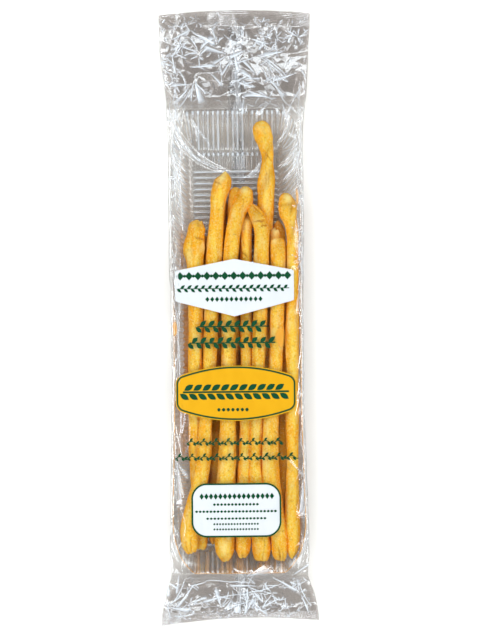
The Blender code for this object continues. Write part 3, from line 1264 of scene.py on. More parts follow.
@dataclass
class Film:
    """The clear film: a tube drawn round the tray, flattened and sealed at both ends."""

    form: BagForm
    face_columns: int = 270
    wall_columns: int = 22
    floor_columns: int = 96
    crimp_step: float = 0.24
    fine_step: float = 0.34
    coarse_step: float = 1.05
    header_from: float = 148.0
    upper_from: float = -14.0
    tail_from: float = -176.0
    crimp_pitch: float = 1.15
    crimp_height: float = 0.12
    crease_from: float = 0.13
    crease_full: float = 0.50

    def __post_init__(self) -> None:
        """Work out the film's grid of points."""
        self.rows = self.row_places()
        self.points, self.slack, self.frost = self.drawn_points()

    def row_places(self) -> Array:
        """Places of the rows along the pack, closer together where the film is crumpled.

        Returns:
            The places, rising from the tail.
        """
        form = self.form
        low, high = form.tail_end, form.header_end
        crimp = form.seal_length + 1.5
        spans = (
            (low, low + crimp, self.crimp_step), (low + crimp, self.tail_from, self.fine_step),
            (self.tail_from, self.upper_from, self.coarse_step),
            (self.upper_from, self.header_from, self.coarse_step),
            (self.header_from, high - crimp, self.fine_step), (high - crimp, high, self.crimp_step),
        )
        parts = [np.linspace(a, b, round((b - a) / step), endpoint=False) for a, b, step in spans]
        return np.concatenate([*parts, [high]])

    def column_places(self) -> dict[str, Array]:
        """Where each column lies in a section.

        Returns:
            side, 0 on the shown face, 1 on the walls and 2 on the underside; across, from -1 to 1 on the
            face and the underside; turn, from 0 at the underside to 1 at the rim, on the walls.
        """
        t = np.linspace(-1, 1, self.face_columns, endpoint=False)
        face = 0.72 * t + 0.28 * np.sin(math.pi * t / 2)
        wall = np.linspace(1, 0, self.wall_columns, endpoint=False)
        floor = np.linspace(1, -1, self.floor_columns, endpoint=False)
        back = np.linspace(0, 1, self.wall_columns, endpoint=False)
        zeros, ones = np.zeros_like(face), np.ones_like(wall)
        side = np.concatenate([zeros, ones, np.full(floor.size, 2.0), -ones])
        across = np.concatenate([face, ones, floor, -ones])
        turn = np.concatenate([zeros, wall, np.zeros(floor.size), back])
        return {"side": side, "across": across, "turn": turn}

    def drawn_points(self) -> tuple[Array, Array, Array]:
        """The film's points, rows along the pack and columns round it, how slack it is, and its painted
        highlights where it is bent or folded.

        Returns:
            The crumpled points, how slack the film is at each, and its painted highlight there.
        """
        form = self.form
        column = self.column_places()
        y = self.rows[:, None] + np.zeros_like(column["across"])[None, :]
        p = {name: value[:, None] for name, value in form.profiles(self.rows).items()}
        side, across, turn = (column[k][None, :] for k in ("side", "across", "turn"))
        angle = turn * math.pi / 2
        wall_x = p["floor"] + (p["half"] - p["floor"]) * np.sin(angle)
        x = np.where(side == 0, p["half"] * across, np.where(side == 2, p["floor"] * across, across * wall_x))
        face_z = p["rim"] + p["crown"] * np.clip(1 - across**2, 0, 1) ** 0.6
        wall_z = p["under"] + (p["rim"] - p["under"]) * (1 - np.cos(angle)) ** 0.8
        z = np.where(side == 0, face_z, np.where(side == 2, p["under"] + 0 * across, wall_z))
        y = y + form.end_shift(np.clip(x / p["half"], -1, 1), y)
        points = np.stack([x, y, z], axis=2)
        around = self.round_places(points)
        return self.creased(points, around, side, x / p["half"])

    def bent(self, height: Array, around: Array) -> Array:
        """How sharply the film is creased at each point, from the jump in its slope there.

        Args:
            height: The film's height over its smooth form.
            around: Each column's place round the film.

        Returns:
            0 where it is flat to 1 on a sharp crease.
        """
        step_y = np.diff(self.rows)[:, None]
        slope_y = np.diff(height, axis=0) / step_y
        jump_y = np.zeros_like(height)
        jump_y[1:-1] = np.abs(np.diff(slope_y, axis=0))
        step_s = (np.roll(around, -1) - around)[None, :]
        step_s[0, -1] = self.girth - around[-1]
        slope_s = (np.roll(height, -1, axis=1) - height) / step_s
        jump_s = np.abs(slope_s - np.roll(slope_s, 1, axis=1))
        jump = np.hypot(jump_y, jump_s)
        return ease((jump - self.crease_from) / (self.crease_full - self.crease_from))

    def round_places(self, points: Array) -> Array:
        """Each column's place round the flat film, from its place in the middle of the pack.

        Args:
            points: The smooth film.

        Returns:
            The places in millimetres.
        """
        middle = points[np.argmin(np.abs(self.rows))]
        steps = np.linalg.norm(np.roll(middle, -1, axis=0) - middle, axis=1)
        around = np.concatenate([[0], np.cumsum(steps)])
        self.girth = float(around[-1])
        return around[:-1]

    def pressed(self, folds: Sequence[Fold], x: Array, y: Array) -> tuple[Array, Array]:
        """The height and painted highlight of all folds together, each worked out only over the rows it may
        reach.

        Args:
            folds: The folds.
            x: Places across the pack.
            y: Places along it.

        Returns:
            Heights and painted highlights of the shape of x and y.
        """
        # Heights add up; of the painted highlights the strongest is kept.
        total, white = np.zeros_like(y), np.zeros_like(y)
        margin = self.form.header_arch + self.form.tail_hollow
        for fold in folds:
            low, high = fold.span()
            first, last = np.searchsorted(self.rows, (low - margin, high + margin))
            if last > first:
                height, pale = fold.press(x[first:last], y[first:last])
                total[first:last] += height
                np.maximum(white[first:last], pale, out=white[first:last])
        return total, white

    def creased(self, points: Array, around: Array, side: Array, across: Array) -> tuple[Array, Array, Array]:
        """Crumple the film: facets everywhere it is slack, folds, and a little strain over the tray.

        Args:
            points: The smooth film.
            around: Each column's place round the film.
            side: Which side each column is on.
            across: Each point's place across the pack, -1 to 1.

        Returns:
            The crumpled points, how slack the film is at each, and its painted highlight there.
        """
        form, low, high = self.form, self.form.tail_end, self.form.length / 2
        x, y = points[:, :, 0], points[:, :, 1]
        s = np.broadcast_to(around[None, :], y.shape)
        u, v = s / self.girth, (y - low) / (high - low)
        warp_s = 2.5 * smooth_noise(u, v, (14, 28), 5, True)
        warp_y = 2.5 * smooth_noise(u, v, (14, 28), 6, True)
        slack = form.slackness(y)
        wall = (np.abs(side) == 1) * np.ones_like(y)
        face = (side == 0) * np.ones_like(y)
        edge = ease((np.abs(across) - 0.80) / 0.16)
        own = np.zeros_like(y)
        patchy = ease(0.5 + 1.2 * smooth_noise(u, v, (11, 20), 9, True))
        scales = (
            (Facets(self.girth, low, high, (12.0, 13.0), 1.05, 11), 1.0, 0.03, 1.0),
            (Facets(self.girth, low, high, (6.0, 7.0), 0.24, 12), 1.0, 0.08, 0.3 + 0.7 * patchy),
            (Facets(self.girth, low, high, (2.4, 2.8), 0.045, 13), 1.0, 0.10, patchy**2),
        )
        for facets, loose, taut, share in scales:
            sheet = facets.raster()
            strength = (taut + (loose - taut) * slack) * share
            own += strength * facets.sample(sheet, s + 0.4 * warp_s, y + 0.4 * warp_y)
        strain = Facets(self.girth, low, high, (5.0, 42.0), 0.9, 14)
        drawn = strain.sample(strain.raster(), s + warp_s, y + 4 * warp_y)
        own += drawn * (1 - slack) * (0.10 + 0.55 * edge * face + 0.35 * wall)
        own += 0.8 * smooth_noise(u, v, (9, 22), 7, True) * slack
        flat_bent = self.bent(own, around)
        bent_x, bent_y = x + 0.14 * warp_s, y + 0.14 * warp_y
        width = self.face_columns + 1
        raised, white = self.pressed(self.face_folds(), bent_x[:, :width], bent_y[:, :width])
        own[:, :width] += face[:, :width] * raised
        # The folds' painted highlights, on the face and fainter on the underside.
        fold_highlights = np.zeros_like(y)
        fold_highlights[:, :width] = face[:, :width] * white
        first = self.face_columns + self.wall_columns
        last = first + self.floor_columns
        raised, white = self.pressed(self.back_folds(), bent_x[:, first:last], bent_y[:, first:last])
        own[:, first:last] += 0.9 * raised
        fold_highlights[:, first:last] = 0.4 * white
        thick = form.profiles(self.rows)
        gap = (thick["rim"] + thick["crown"] - thick["under"])[:, None]
        free = ease(gap / 7.0)
        common = Facets(self.girth, low, high, (9.0, 8.0), 0.8, 15)
        shared = common.sample(common.raster(), x + self.girth / 2 + warp_s, y + warp_y)
        shared = shared + 0.5 * smooth_noise((x + 60) / 120, v, (5, 18), 8)
        shared += 0.6 * self.seal_wave(x, y)
        shared += self.crimps(x, y, patchy)
        normal = grid_normals(points, wrap=True)
        limit = np.where(side == 2, 0.35 + 0.65 * slack, 1.0)
        moved = points + normal * (own * (0.6 + 0.4 * free) * limit)[:, :, None]
        moved[:, :, 2] += shared * slack * (1 - 0.6 * free)
        moved[:, :, 2] = np.maximum(moved[:, :, 2], self.form.under_lift * 0.6)
        # Painted highlights: along sharp creases, on the folds' flanks and crest lines, and faint lines along
        # the crimps of the seals.
        crease = flat_bent * np.clip(0.35 + 0.9 * smooth_noise(u, v, (30, 58), 16, True), 0, 1)
        crease *= np.where(side == 2, 0.25, 0.6) * (0.3 + 0.7 * slack)
        frost = np.maximum(0.92 * fold_highlights * (0.6 + 0.4 * slack), crease)
        pressed_lines = 0.5 + 0.5 * np.cos(2 * math.pi * (y + 0.02 * x) / self.crimp_pitch)
        frost = np.maximum(frost, 0.16 * form.in_seal(y) * patchy * pressed_lines * face)
        return moved, slack, np.clip(frost, 0, 0.95) * (1 - wall)

    def amber_patched(self, keep: Array) -> Array:
        """Where the film is tinted amber, in ragged patches.

        Args:
            keep: The rows to work it out for.

        Returns:
            The stain at each point of those rows.
        """
        x, y = self.points[keep, :, 0], self.points[keep, :, 1]
        total = np.zeros_like(x)
        for middle_x, middle_y, wide, long in AMBER_PATCHES:
            away = ((x - middle_x) / wide) ** 2 + ((y - middle_y) / long) ** 2
            ragged = 0.5 * smooth_noise((x + 60) / 120, (y + 230) / 460, (34, 90), 17)
            total = np.maximum(total, ease(1.6 * (1 - away + ragged)))
        return 0.7 * total * (self.points[keep, :, 2] > 15)

    def seal_wave(self, x: Array, y: Array) -> Array:
        """Slow waves along the two seals, which don't lie quite flat."""
        return np.sin(x / 9.0 + 0.6) * np.cos(x / 23.0 + y / 60.0) * self.form.in_seal(y)

    def crimps(self, x: Array, y: Array, patchy: Array) -> Array:
        """The fine level ribs that the sealing jaws left, clearer in some stretches than in others."""
        wave = np.cos(2 * math.pi * (self.rows[:, None] + 0.02 * x) / self.crimp_pitch)
        return self.crimp_height * wave * self.form.in_seal(y) * (0.25 + 0.75 * patchy)

    def face_folds(self) -> list[Fold]:
        """Folds of the shown face: drawn ones, and chance ones at both ends and along the sides.

        Returns:
            All the face's folds.
        """
        form = self.form
        top, tail = form.tray_top_rim, form.tray_tail_rim
        upright = math.pi / 2
        made = [*HEADER_FOLDS, *TAIL_FOLDS, *SIDE_FOLDS]
        made += Crumple((-50, top + 4, 32, 212), 12, 46, (7, 19), 31).folds()
        made += Crumple((24, top, 52, 212), 3, 26, (5, 14), 30).folds()
        made += Crumple((-54, 158, -36, 218), 6, 45, (4, 12), 32, hair=(2, 8)).folds()
        made += Crumple((6, 196, 54, 221), 7, 70, (3, 8), 33, hair=(1.5, 6)).folds()
        made += Crumple((-54, 200, 6, 221), 5, 40, (4, 11), 35, hair=(2, 7)).folds()
        made += Crumple((-54, -221, 54, tail - 2), 18, 42, (7, 22), 34, hair=(2, 9)).folds()
        made += Crumple((-56, -224, 56, -208), 7, 70, (3, 9), 44, hair=(1.5, 6)).folds()
        for sign in (-1, 1):
            inner, outer = (-47.5, -40.0) if sign < 0 else (45.2, 48.0)
            made += Crumple(
                (inner, tail, outer, top), 5, 40, (6, 14), 36 + sign, hair=(8, 44), lean=upright, swing=0.16
            ).folds()
            made += Crumple((inner, 84, outer, top), 4, 10, (5, 12), 39 + sign, hair=(3, 10)).folds()
        return made

    def back_folds(self) -> list[Fold]:
        """Chance folds of the underside at both ends."""
        header = Crumple((-50, self.form.tray_top_floor, 50, 214), 20, 50, (6, 20), 41).folds()
        return header + Crumple((-52, -219, 52, -176), 12, 36, (5, 16), 42).folds()

    def height_at(self, x: Array, y: Array) -> Array:
        """The shown face's height at places over the middle of the pack.

        Args:
            x: Places across the pack.
            y: Places along it.

        Returns:
            Heights of the shape of x and y.
        """
        face = self.points[:, : self.face_columns + 1]
        half = self.form.profiles(self.rows)["half"]
        row = np.clip(np.searchsorted(self.rows, y) - 1, 0, len(self.rows) - 2)
        share = np.clip((y - self.rows[row]) / (self.rows[row + 1] - self.rows[row]), 0, 1)
        across = np.linspace(-1, 1, self.face_columns + 1)
        shape = 0.72 * across + 0.28 * np.sin(math.pi * across / 2)

        def read(r: Array) -> Array:
            """The height in one row of the film for each place.

            Args:
                r: The row's number for each place.

            Returns:
                The heights.
            """
            place_in_row = np.clip(x / half[r], -0.9999, 0.9999)
            c = np.clip(np.searchsorted(shape, place_in_row) - 1, 0, self.face_columns - 1)
            f = (place_in_row - shape[c]) / (shape[c + 1] - shape[c])
            return face[r, c, 2] * (1 - f) + face[r, c + 1, 2] * f

        return read(row) * (1 - share) + read(row + 1) * share

    def build(self, material: Material) -> list[Piece]:
        """Make the four lengths of film, whose edges meet point for point.

        Args:
            material: The film's finish.

        Returns:
            The four pieces, tail first.
        """
        normals = grid_normals(self.points, wrap=True)
        ends = (self.form.tail_end, self.tail_from, self.upper_from, self.header_from, self.form.header_end)
        made = []
        for span, low, high in zip(FilmSpan, ends, ends[1:]):
            keep = np.flatnonzero((self.rows >= low - 1e-6) & (self.rows <= high + 1e-6))
            points = self.points[keep]
            obj = make_object(span.value, points, grid_quads(len(keep), points.shape[1], wrap=True), material)
            add_attribute(obj, "slack", self.slack[keep])
            add_attribute(obj, "frost", self.frost[keep])
            add_attribute(obj, "stain", self.amber_patched(keep))
            obj.data.normals_split_custom_set_from_vertices(normals[keep].reshape(-1, 3).tolist())
            made.append(place(obj))
        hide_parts(BAG_NODE)
        return made


@dataclass(frozen=True)
class BackSeam:
    """The film's lengthwise back seam: a fin folded flat inside the underside, in uneven pleats."""

    form: BagForm
    middle: float = 1.0
    half_width: float = 4.8
    columns: int = 45
    step: float = 0.8
    pleats: int = 5
    height: float = 0.30

    def build(self, material: Material) -> Piece:
        """Lay the fin along the pack, just above the underside.

        Args:
            material: The fin's finish.

        Returns:
            The piece.
        """
        form = self.form
        low, high = form.tail_end + form.seal_length, form.header_end - form.seal_length
        y = np.linspace(low, high, round((high - low) / self.step))
        share = np.linspace(-1, 1, self.columns)
        sway = 1.3 * smooth_noise(y * 0, (y - low) / (high - low), (1, 9), 61)
        wide = self.half_width * (1 + 0.25 * smooth_noise(y * 0, (y - low) / (high - low), (1, 16), 62))
        x = self.middle + sway[:, None] + wide[:, None] * share[None, :]
        yy = np.broadcast_to(y[:, None], x.shape)
        u, v = (share[None, :] + 1) / 2 + 0 * x, (yy - low) / (high - low)
        drift = 0.22 * smooth_noise(u, v, (2, 24), 63)
        turn = (u + drift) * self.pleats
        fold = np.abs(2 * (turn - np.floor(turn)) - 1)
        strength = ease(0.55 + 0.9 * smooth_noise(u, v, (3, 34), 64))
        raised = self.height * fold * (0.35 + 0.65 * strength)
        raised += 0.16 * np.clip(smooth_noise(u, v, (6, 120), 65), 0, 1)
        under = form.profiles(y)["under"][:, None]
        ends = ease((form.header_end - yy) / 14) * ease((yy - form.tail_end) / 14)
        points = np.stack([x, yy, under + 0.12 + raised * ends], axis=2)
        seam = make_object("film_back_seam", points, grid_quads(*x.shape), material)
        add_attribute(seam, "slack", strength)
        # Painted highlights on the crests of the pleats.
        add_attribute(seam, "frost", 0.5 * strength * ease((fold - 0.80) / 0.16))
        return place(seam)


# ---------------- the tray


class TraySpan(Enum):
    """The three mouldings of the tray, each a piece of its own, with the columns across its floor."""

    TAIL = ("tray_tail", 260)
    BODY = ("tray_body", 40)
    HEAD = ("tray_head", 260)


@dataclass
class Tray:
    """The clear moulded tray: a flat ribbed floor, walls that curve out to a rim, and rounded corners."""

    form: BagForm
    floor_z: float = 0.9
    rim_inset: float = 2.0
    floor_ribs: int = 69
    end_ribs: int = 17
    corner_ribs: int = 7
    rib_depth: float = 0.5
    floor_rib_share: float = 0.58
    rib_flank: float = 0.55
    rib_sweep: float = 24.0
    wall_columns: int = 26
    row_step: float = 0.31
    head_span: float = 17.0
    tail_span: float = 7.0
    bead_radius: float = 0.3
    stud_height: float = 0.75

    @property
    def floor_top(self) -> float:
        """Where the flat floor ends, at the header."""
        return self.form.tray_top_floor - 1

    @property
    def floor_tail(self) -> float:
        """Where the flat floor ends, at the tail."""
        return self.form.tray_tail_floor

    def half_rim(self, y: Array) -> Array:
        """Half the width of the rim, just inside the film and rounded off towards both ends.

        Args:
            y: Places along the pack.

        Returns:
            The half width at each.
        """
        tail = np.clip((self.floor_tail + 24 - y) / 24, 0, 1.5)
        head = np.clip((y - self.floor_top + 12) / 20, 0, 1.5)
        return self.form.profiles(y)["half"] - self.rim_inset - 4.6 * tail**2 - 1.6 * head**2

    def row_plan(self, span: TraySpan) -> tuple[Array, Array]:
        """How far out each row is on an end wall, from -1 to 1, and its place on the floor.

        Args:
            span: Which moulding.

        Returns:
            Both values for each row.
        """
        top, tail = self.floor_top, self.floor_tail
        low = {TraySpan.TAIL: tail, TraySpan.BODY: tail + self.tail_span, TraySpan.HEAD: top - self.head_span}
        high = {TraySpan.TAIL: tail + self.tail_span, TraySpan.BODY: top - self.head_span, TraySpan.HEAD: top}
        count = round((high[span] - low[span]) / self.row_step)
        floor_y = np.linspace(low[span], high[span], count + 1)
        out = np.zeros(count + 1)
        if span is TraySpan.TAIL:
            wall = np.linspace(-1, 0, 60, endpoint=False)
            return np.concatenate([wall, out]), np.concatenate([np.full(wall.size, tail), floor_y])
        if span is TraySpan.HEAD:
            wall = np.linspace(0, 1, 91)[1:]
            return np.concatenate([out, wall]), np.concatenate([floor_y, np.full(wall.size, top)])
        return out, floor_y

    def grid(self, span: TraySpan) -> dict[str, Array]:
        """One moulding's plan as a grid.

        Args:
            span: Which moulding.

        Returns:
            points; up, from 0 on the floor to 1 at the rim; the ribs' phase and depth; along, 1 where they
            run lengthwise; side, from 0 to 1 as the wall is a side wall.
        """
        form = self.form
        floor = form.floor_width / 2
        floor_columns = span.value[1]
        a = np.concatenate(
            [
                np.linspace(-1, 0, self.wall_columns, endpoint=False),
                np.zeros(floor_columns),
                np.linspace(0, 1, self.wall_columns + 1)[1:],
            ]
        )
        floor_x = np.linspace(-floor, floor, floor_columns)
        wall_x = np.full(self.wall_columns, floor)
        core_x = np.concatenate([-wall_x, floor_x, wall_x])
        b, core_y = self.row_plan(span)
        aa, bb = np.meshgrid(a, b)
        cx, cy = np.meshgrid(core_x, core_y)
        da, db = aa * np.sqrt(1 - bb**2 / 2), bb * np.sqrt(1 - aa**2 / 2)
        up = np.clip(np.hypot(da, db), 0, 1)
        reach_top = form.tray_top_rim - 1 - self.floor_top
        reach_tail = self.floor_tail - form.tray_tail_rim - 1
        y = cy + db * np.where(db > 0, reach_top, reach_tail)
        x = cx + np.sin(np.clip(da, -1, 1) * math.pi / 2) * (self.half_rim(y) - floor)
        rim = form.rim_height - 0.9
        z = self.floor_z + (rim - self.floor_z) * (1 - np.cos(up * math.pi / 2)) ** 0.8
        phase, depth, along = self.ribs(x, y, da, db, up)
        z = z + self.studs(x, y, phase) * (up < 0.3)
        points = np.stack([x, y, z], axis=2)
        fields = {"up": up, "phase": phase, "depth": depth, "along": along, "side": np.abs(da)}
        return {"points": points, **fields}

    def studs(self, x: Array, y: Array, phase: Array) -> Array:
        """The small round knobs where the end wall's ribs meet the floor.

        Args:
            x: Places across the tray.
            y: Places along it.
            phase: The ribs' phase there, in turns.

        Returns:
            The knobs' height at each place.
        """
        off = (phase - np.round(phase)) * self.form.floor_width / self.end_ribs
        away = (off / 0.95) ** 2 + ((y - self.floor_top - 0.3) / 1.25) ** 2
        inside = np.abs(x) < self.form.floor_width / 2 - 1
        return self.stud_height * np.exp(-away) * inside

    def ribs(self, x: Array, y: Array, da: Array, db: Array, up: Array) -> tuple[Array, Array, Array]:
        """Phase, in turns, and depth of the moulded ribs, and 1 where they run lengthwise.

        Across the floor and up the side walls they lie side by side along the pack, sweep towards the
        header near its corners and fan round the corners, and they run lengthwise on the two end walls.

        Args:
            x: Places across the tray.
            y: Places along it.
            da: How far out each is on a side wall, -1 to 1.
            db: How far out each is on an end wall, -1 to 1.
            up: How far up the walls each is, 0 to 1.

        Returns:
            Phase, depth and the lengthwise share at each place.
        """
        top, tail = self.floor_top, self.floor_tail
        pitch = (top - tail) / self.floor_ribs
        sweep = self.rib_sweep * ease((y - 10) / 90) * np.abs(da) ** 1.3
        cross = (y - sweep - tail) / pitch
        lengthwise = (x + self.form.floor_width / 2) / (self.form.floor_width / self.end_ribs)
        fan = np.arctan2(np.abs(db), np.abs(da) + 1e-9) / (math.pi / 2) * self.corner_ribs
        on_side, on_end = np.abs(da) > 1e-6, np.abs(db) > 1e-6
        corner = on_side & on_end
        near_top = ease((y - (top - 13)) / 4) * ~on_side
        near_tail = ease(((tail + 3) - y) / 2) * ~on_side
        along = np.clip(np.where(on_end & ~corner, 1.0, np.maximum(near_top, near_tail)), 0, 1)
        phase = np.where(corner, fan, np.where(along > 0.5, lengthwise, cross))
        soft = np.abs(2 * along - 1) ** 0.5
        rounded_top = 1 - ease((up - 0.93) / 0.05)
        return phase, soft * rounded_top * np.where(up < 1e-6, self.floor_rib_share, 1.0), along

    def build(self, material: Material) -> list[Piece]:
        """Make the tray's mouldings and their ribs.

        Args:
            material: The tray's finish.

        Returns:
            The mouldings, tail first.
        """
        tree = rib_tree()
        made = []
        self.edges: dict[TraySpan, Array] = {}
        for span in TraySpan:
            grid = self.grid(span)
            points = grid["points"]
            self.edges[span] = points
            tray = make_object(span.value[0], points, grid_quads(*grid["up"].shape), material)
            add_attribute(tray, "rib_phase", grid["phase"])
            add_attribute(tray, "rib_depth", grid["depth"])
            for key, field in self.dullness(grid).items():
                add_attribute(tray, key, field)
            tree.apply(tray, Depth=self.rib_depth * MM, Flank=self.rib_flank, Material=material)
            tray.data.shade_smooth()
            made.append(place(tray))
        return made

    def dullness(self, grid: dict[str, Array]) -> dict[str, Array]:
        """How slack and glossy the tray is, with its painted reflection of the bread and its painted
        highlights.

        Args:
            grid: The moulding from the method grid.

        Returns:
            The attributes slack and sheen, the amber tint that paints a reflection of the bread, and the
            painted highlights.
        """
        x, y, up, side = grid["points"][:, :, 0], grid["points"][:, :, 1], grid["up"], grid["side"]
        u, v = (x + 60) / 120, (y + 230) / 460
        rising, sideways = ease(up / 0.3), ease(side / 0.5)
        tail_wall = ease((self.floor_tail - y) / 3) * (1 - sideways)
        head_wall = ease((y - self.floor_top - 2.2) / 3) * (1 - sideways)
        low_side = sideways * ease((70 - y) / 60)
        lobe = 0.5 + 0.5 * np.cos(2 * math.pi * grid["phase"])
        slack = 0.78 * (1 - rising) + rising * (0.78 - 0.55 * sideways)
        # Masks for the painted reflection of the bread in the walls: streaks on the tail wall, scallops, a
        # band and a haunch on the left wall, and a band low on the right.
        streak = ease(0.5 + 1.7 * smooth_noise(u, v, (56, 3), 71))
        low_band = ease((y + 48) / 8) * ease((12 - y) / 6) * (x < 0)
        scalloped_edge = -40.6 + 1.5 * (1 - lobe)
        scallops = ease((x - scalloped_edge) / 0.7) * ease((-33.6 - x) / 1.5) * low_band * (0.8 + 0.2 * lobe)
        high_band = ease((y - 34) / 6) * ease((68 - y) / 8) * np.exp(-(((x + 40.0) / 1.7) ** 2))
        haunch = np.exp(-(((x + 40) / 4.5) ** 2)) * ease((-56 - y) / 8) * ease((y + 108) / 10)
        right_band = np.exp(-(((x - 44.5) / 1.6) ** 2)) * ease(0.3 + 1.2 * smooth_noise(u, v, (3, 34), 72))
        # The painted reflection of the bread, in amber.
        stain = 0.40 * tail_wall * streak + ease(up / 0.12) * 1.2 * scallops
        stain = stain + rising * (0.6 * high_band + 0.45 * haunch)
        stain += 0.45 * low_side * right_band
        own = 0.55 + 0.9 * smooth_noise(u, v, (40, 14), 73)
        below = self.floor_top - y
        near_floor = np.exp(-np.clip(below, 0, None) / 4.2) * ease((14 - below) / 4) * ease((below - 1.6) / 2)
        flat = (1 - rising) * (side < 1e-6)
        across = (grid["along"] < 0.5) * flat
        edge = np.exp(-(((np.abs(x) - 29.3) / 1.0) ** 2))
        # Painted highlights: streaks on the end walls' ribs, lines on the floor and side-wall ribs, upright
        # streaks low on the sides, dots on the knobs and a line near the top of the end walls.
        frost = head_wall * lobe**2 * (0.16 + 0.50 * own) + 0.45 * tail_wall * lobe**3 * own
        frost += (1 - across) * flat * lobe**2 * near_floor * (0.30 + 0.50 * own)
        frost += across * lobe**11 * (0.72 + 0.45 * own + 0.6 * edge)
        side_ribs = sideways * rising * lobe**5 * (0.16 + 0.70 * own)
        frost += side_ribs * ease((up - 0.05) / 0.2) * (1 - 0.8 * low_side)
        upright = ease(0.15 + 1.6 * smooth_noise(u, v, (74, 6), 74))
        frost += 0.55 * low_side * upright * ease((up - 0.4) / 0.2)
        frost += 0.85 * self.studs(x, y, grid["phase"]) / self.stud_height
        frost += 0.8 * (np.abs(up - 0.95) < 0.035) * (1 - sideways) * lobe**2 * ease(0.4 + own)
        return {
            "slack": slack, "sheen": rising * (tail_wall + 0.7 * low_side), "stain": np.clip(stain, 0, 1),
            "frost": np.clip(frost, 0, 0.9),
        }

    def rim_line(self) -> Array:
        """The points of the rim, all the way round.

        Returns:
            The closed line of points.
        """
        tail, body, head = (self.edges[span] for span in TraySpan)
        right = [part[:, -1] for part in (tail, body, head)]
        left = [part[::-1, 0] for part in (head, body, tail)]
        return np.concatenate([tail[0], *right, head[-1, ::-1], *left])

    def build_bead(self, material: Material) -> Piece:
        """The thin rolled bead round the rim, on the tray's own edge.

        Args:
            material: The tray's finish.

        Returns:
            The bead.
        """
        line = self.rim_line()
        run = run_along(line)
        at = np.linspace(0, run[-1], round(run[-1]), endpoint=False)
        loop = np.stack([np.interp(at, run, line[:, k]) for k in range(3)], axis=1)
        _, side, up = level_frame(np.roll(loop, -1, axis=0) - np.roll(loop, 1, axis=0))
        turn = np.linspace(0, 2 * math.pi, 8, endpoint=False)
        ring = side[:, None] * np.cos(turn)[None, :, None] + up[:, None] * np.sin(turn)[None, :, None]
        points = loop[:, None] + ring * self.bead_radius
        quads = grid_quads(len(loop) + 1, 8, wrap=True) % (len(loop) * 8)
        bead = make_object("tray_rim", points, quads[:, ::-1], material)
        add_attribute(bead, "slack", np.full(points.shape[:2], 0.3))
        # A painted reflection of the bread in amber along the rim, stronger towards the tail.
        add_attribute(bead, "stain", 0.8 * ease((40 - points[:, :, 1]) / 90))
        return place(bead)

    def build_crumbs(self, material: Material) -> Piece:
        """Crumbs that lie on the floor of the tray, most of them near the tail.

        Args:
            material: The crust's finish.

        Returns:
            All the crumbs, as one piece.
        """
        form = self.form
        half = form.floor_width / 2 - 2
        low, high, step = form.tray_tail_floor - 2, form.tray_tail_floor + 26, 2.0
        x, y = np.meshgrid(np.arange(-half, half, step), np.arange(low, high, step))
        level = np.full_like(x, self.floor_z + self.rib_depth + 0.25)
        crumbs = make_object("crumbs", np.stack([x, y, level], axis=2), grid_quads(*x.shape), material)
        crumb_tree().apply(
            crumbs, Density=75000.0, Smallest=0.22 * MM, Largest=0.75 * MM, Seed=5, Material=material
        )
        crumbs.data.shade_smooth()
        return place(crumbs)


# ---------------- the sticks


@dataclass(frozen=True)
class EndForm:
    """The form of a stick's end.

    Reach is the length over which it narrows, in girths, and square how late it does so. Mouth is the
    share of the girth left at the very end, and sink how far its middle lies inside. Teeth stand up to
    jag girths out of a torn end, and flat is how much it is pressed down.
    """

    reach: float
    square: float
    mouth: float
    jag: float
    flat: float
    sink: float


class EndShape(Enum):
    """How a stick ends."""

    ROUND = EndForm(1.1, 2.2, 0.20, 0.06, 0.10, 0.02)
    POINTED = EndForm(2.0, 1.45, 0.16, 0.10, 0.15, 0.02)
    BLUNT = EndForm(0.7, 3.0, 0.50, 0.12, 0.05, 0.08)
    TORN = EndForm(1.2, 1.9, 0.50, 0.34, 0.25, 0.30)
    PINCHED = EndForm(1.5, 1.7, 0.34, 0.22, 0.30, 0.15)


@dataclass(frozen=True)
class Split:
    """A crack or fold across a stick."""

    along: float
    facing: float
    span: float
    depth: float
    width: float
    tilt: float = 0.0


@dataclass(frozen=True)
class Mark:
    """A lump, a dent or a lengthwise crack of a stick, with the colour that it brings.

    Along is its distance from the top end, facing its angle with 90 for the shown side, reach and
    width its half length and half width in mm, and slant how far it drifts round the stick per mm.
    """

    along: float
    facing: float
    reach: float
    width: float
    rise: float
    slant: float = 0.0
    crack: bool = False
    cream: float = 0.0
    bake: float = 0.0

    def share(self, at: Array, degrees: Array, girth: Array, waver: Array) -> Array:
        """How far each point of the stick belongs to the mark, 0 to 1.

        Args:
            at: Distances from the top end, as a column.
            degrees: Angles round the stick, as a row.
            girth: The stick's radius at each distance, as a column.
            waver: Noise from -1 to 1 at each point.

        Returns:
            Shares of the shape of the stick's grid.
        """
        turn = (degrees - self.facing + 180) % 360 - 180
        arc = np.radians(turn) * girth - self.slant * (at - self.along)
        if self.crack:
            across = np.abs(arc + 0.7 * waver) / self.width
            return np.clip(1 - across, 0, 1) * ease(1.5 * (1 - np.abs(at - self.along) / self.reach))
        away = ((at - self.along) / self.reach) ** 2 + (arc / self.width) ** 2
        return np.exp(-away * (1 + 0.25 * waver))


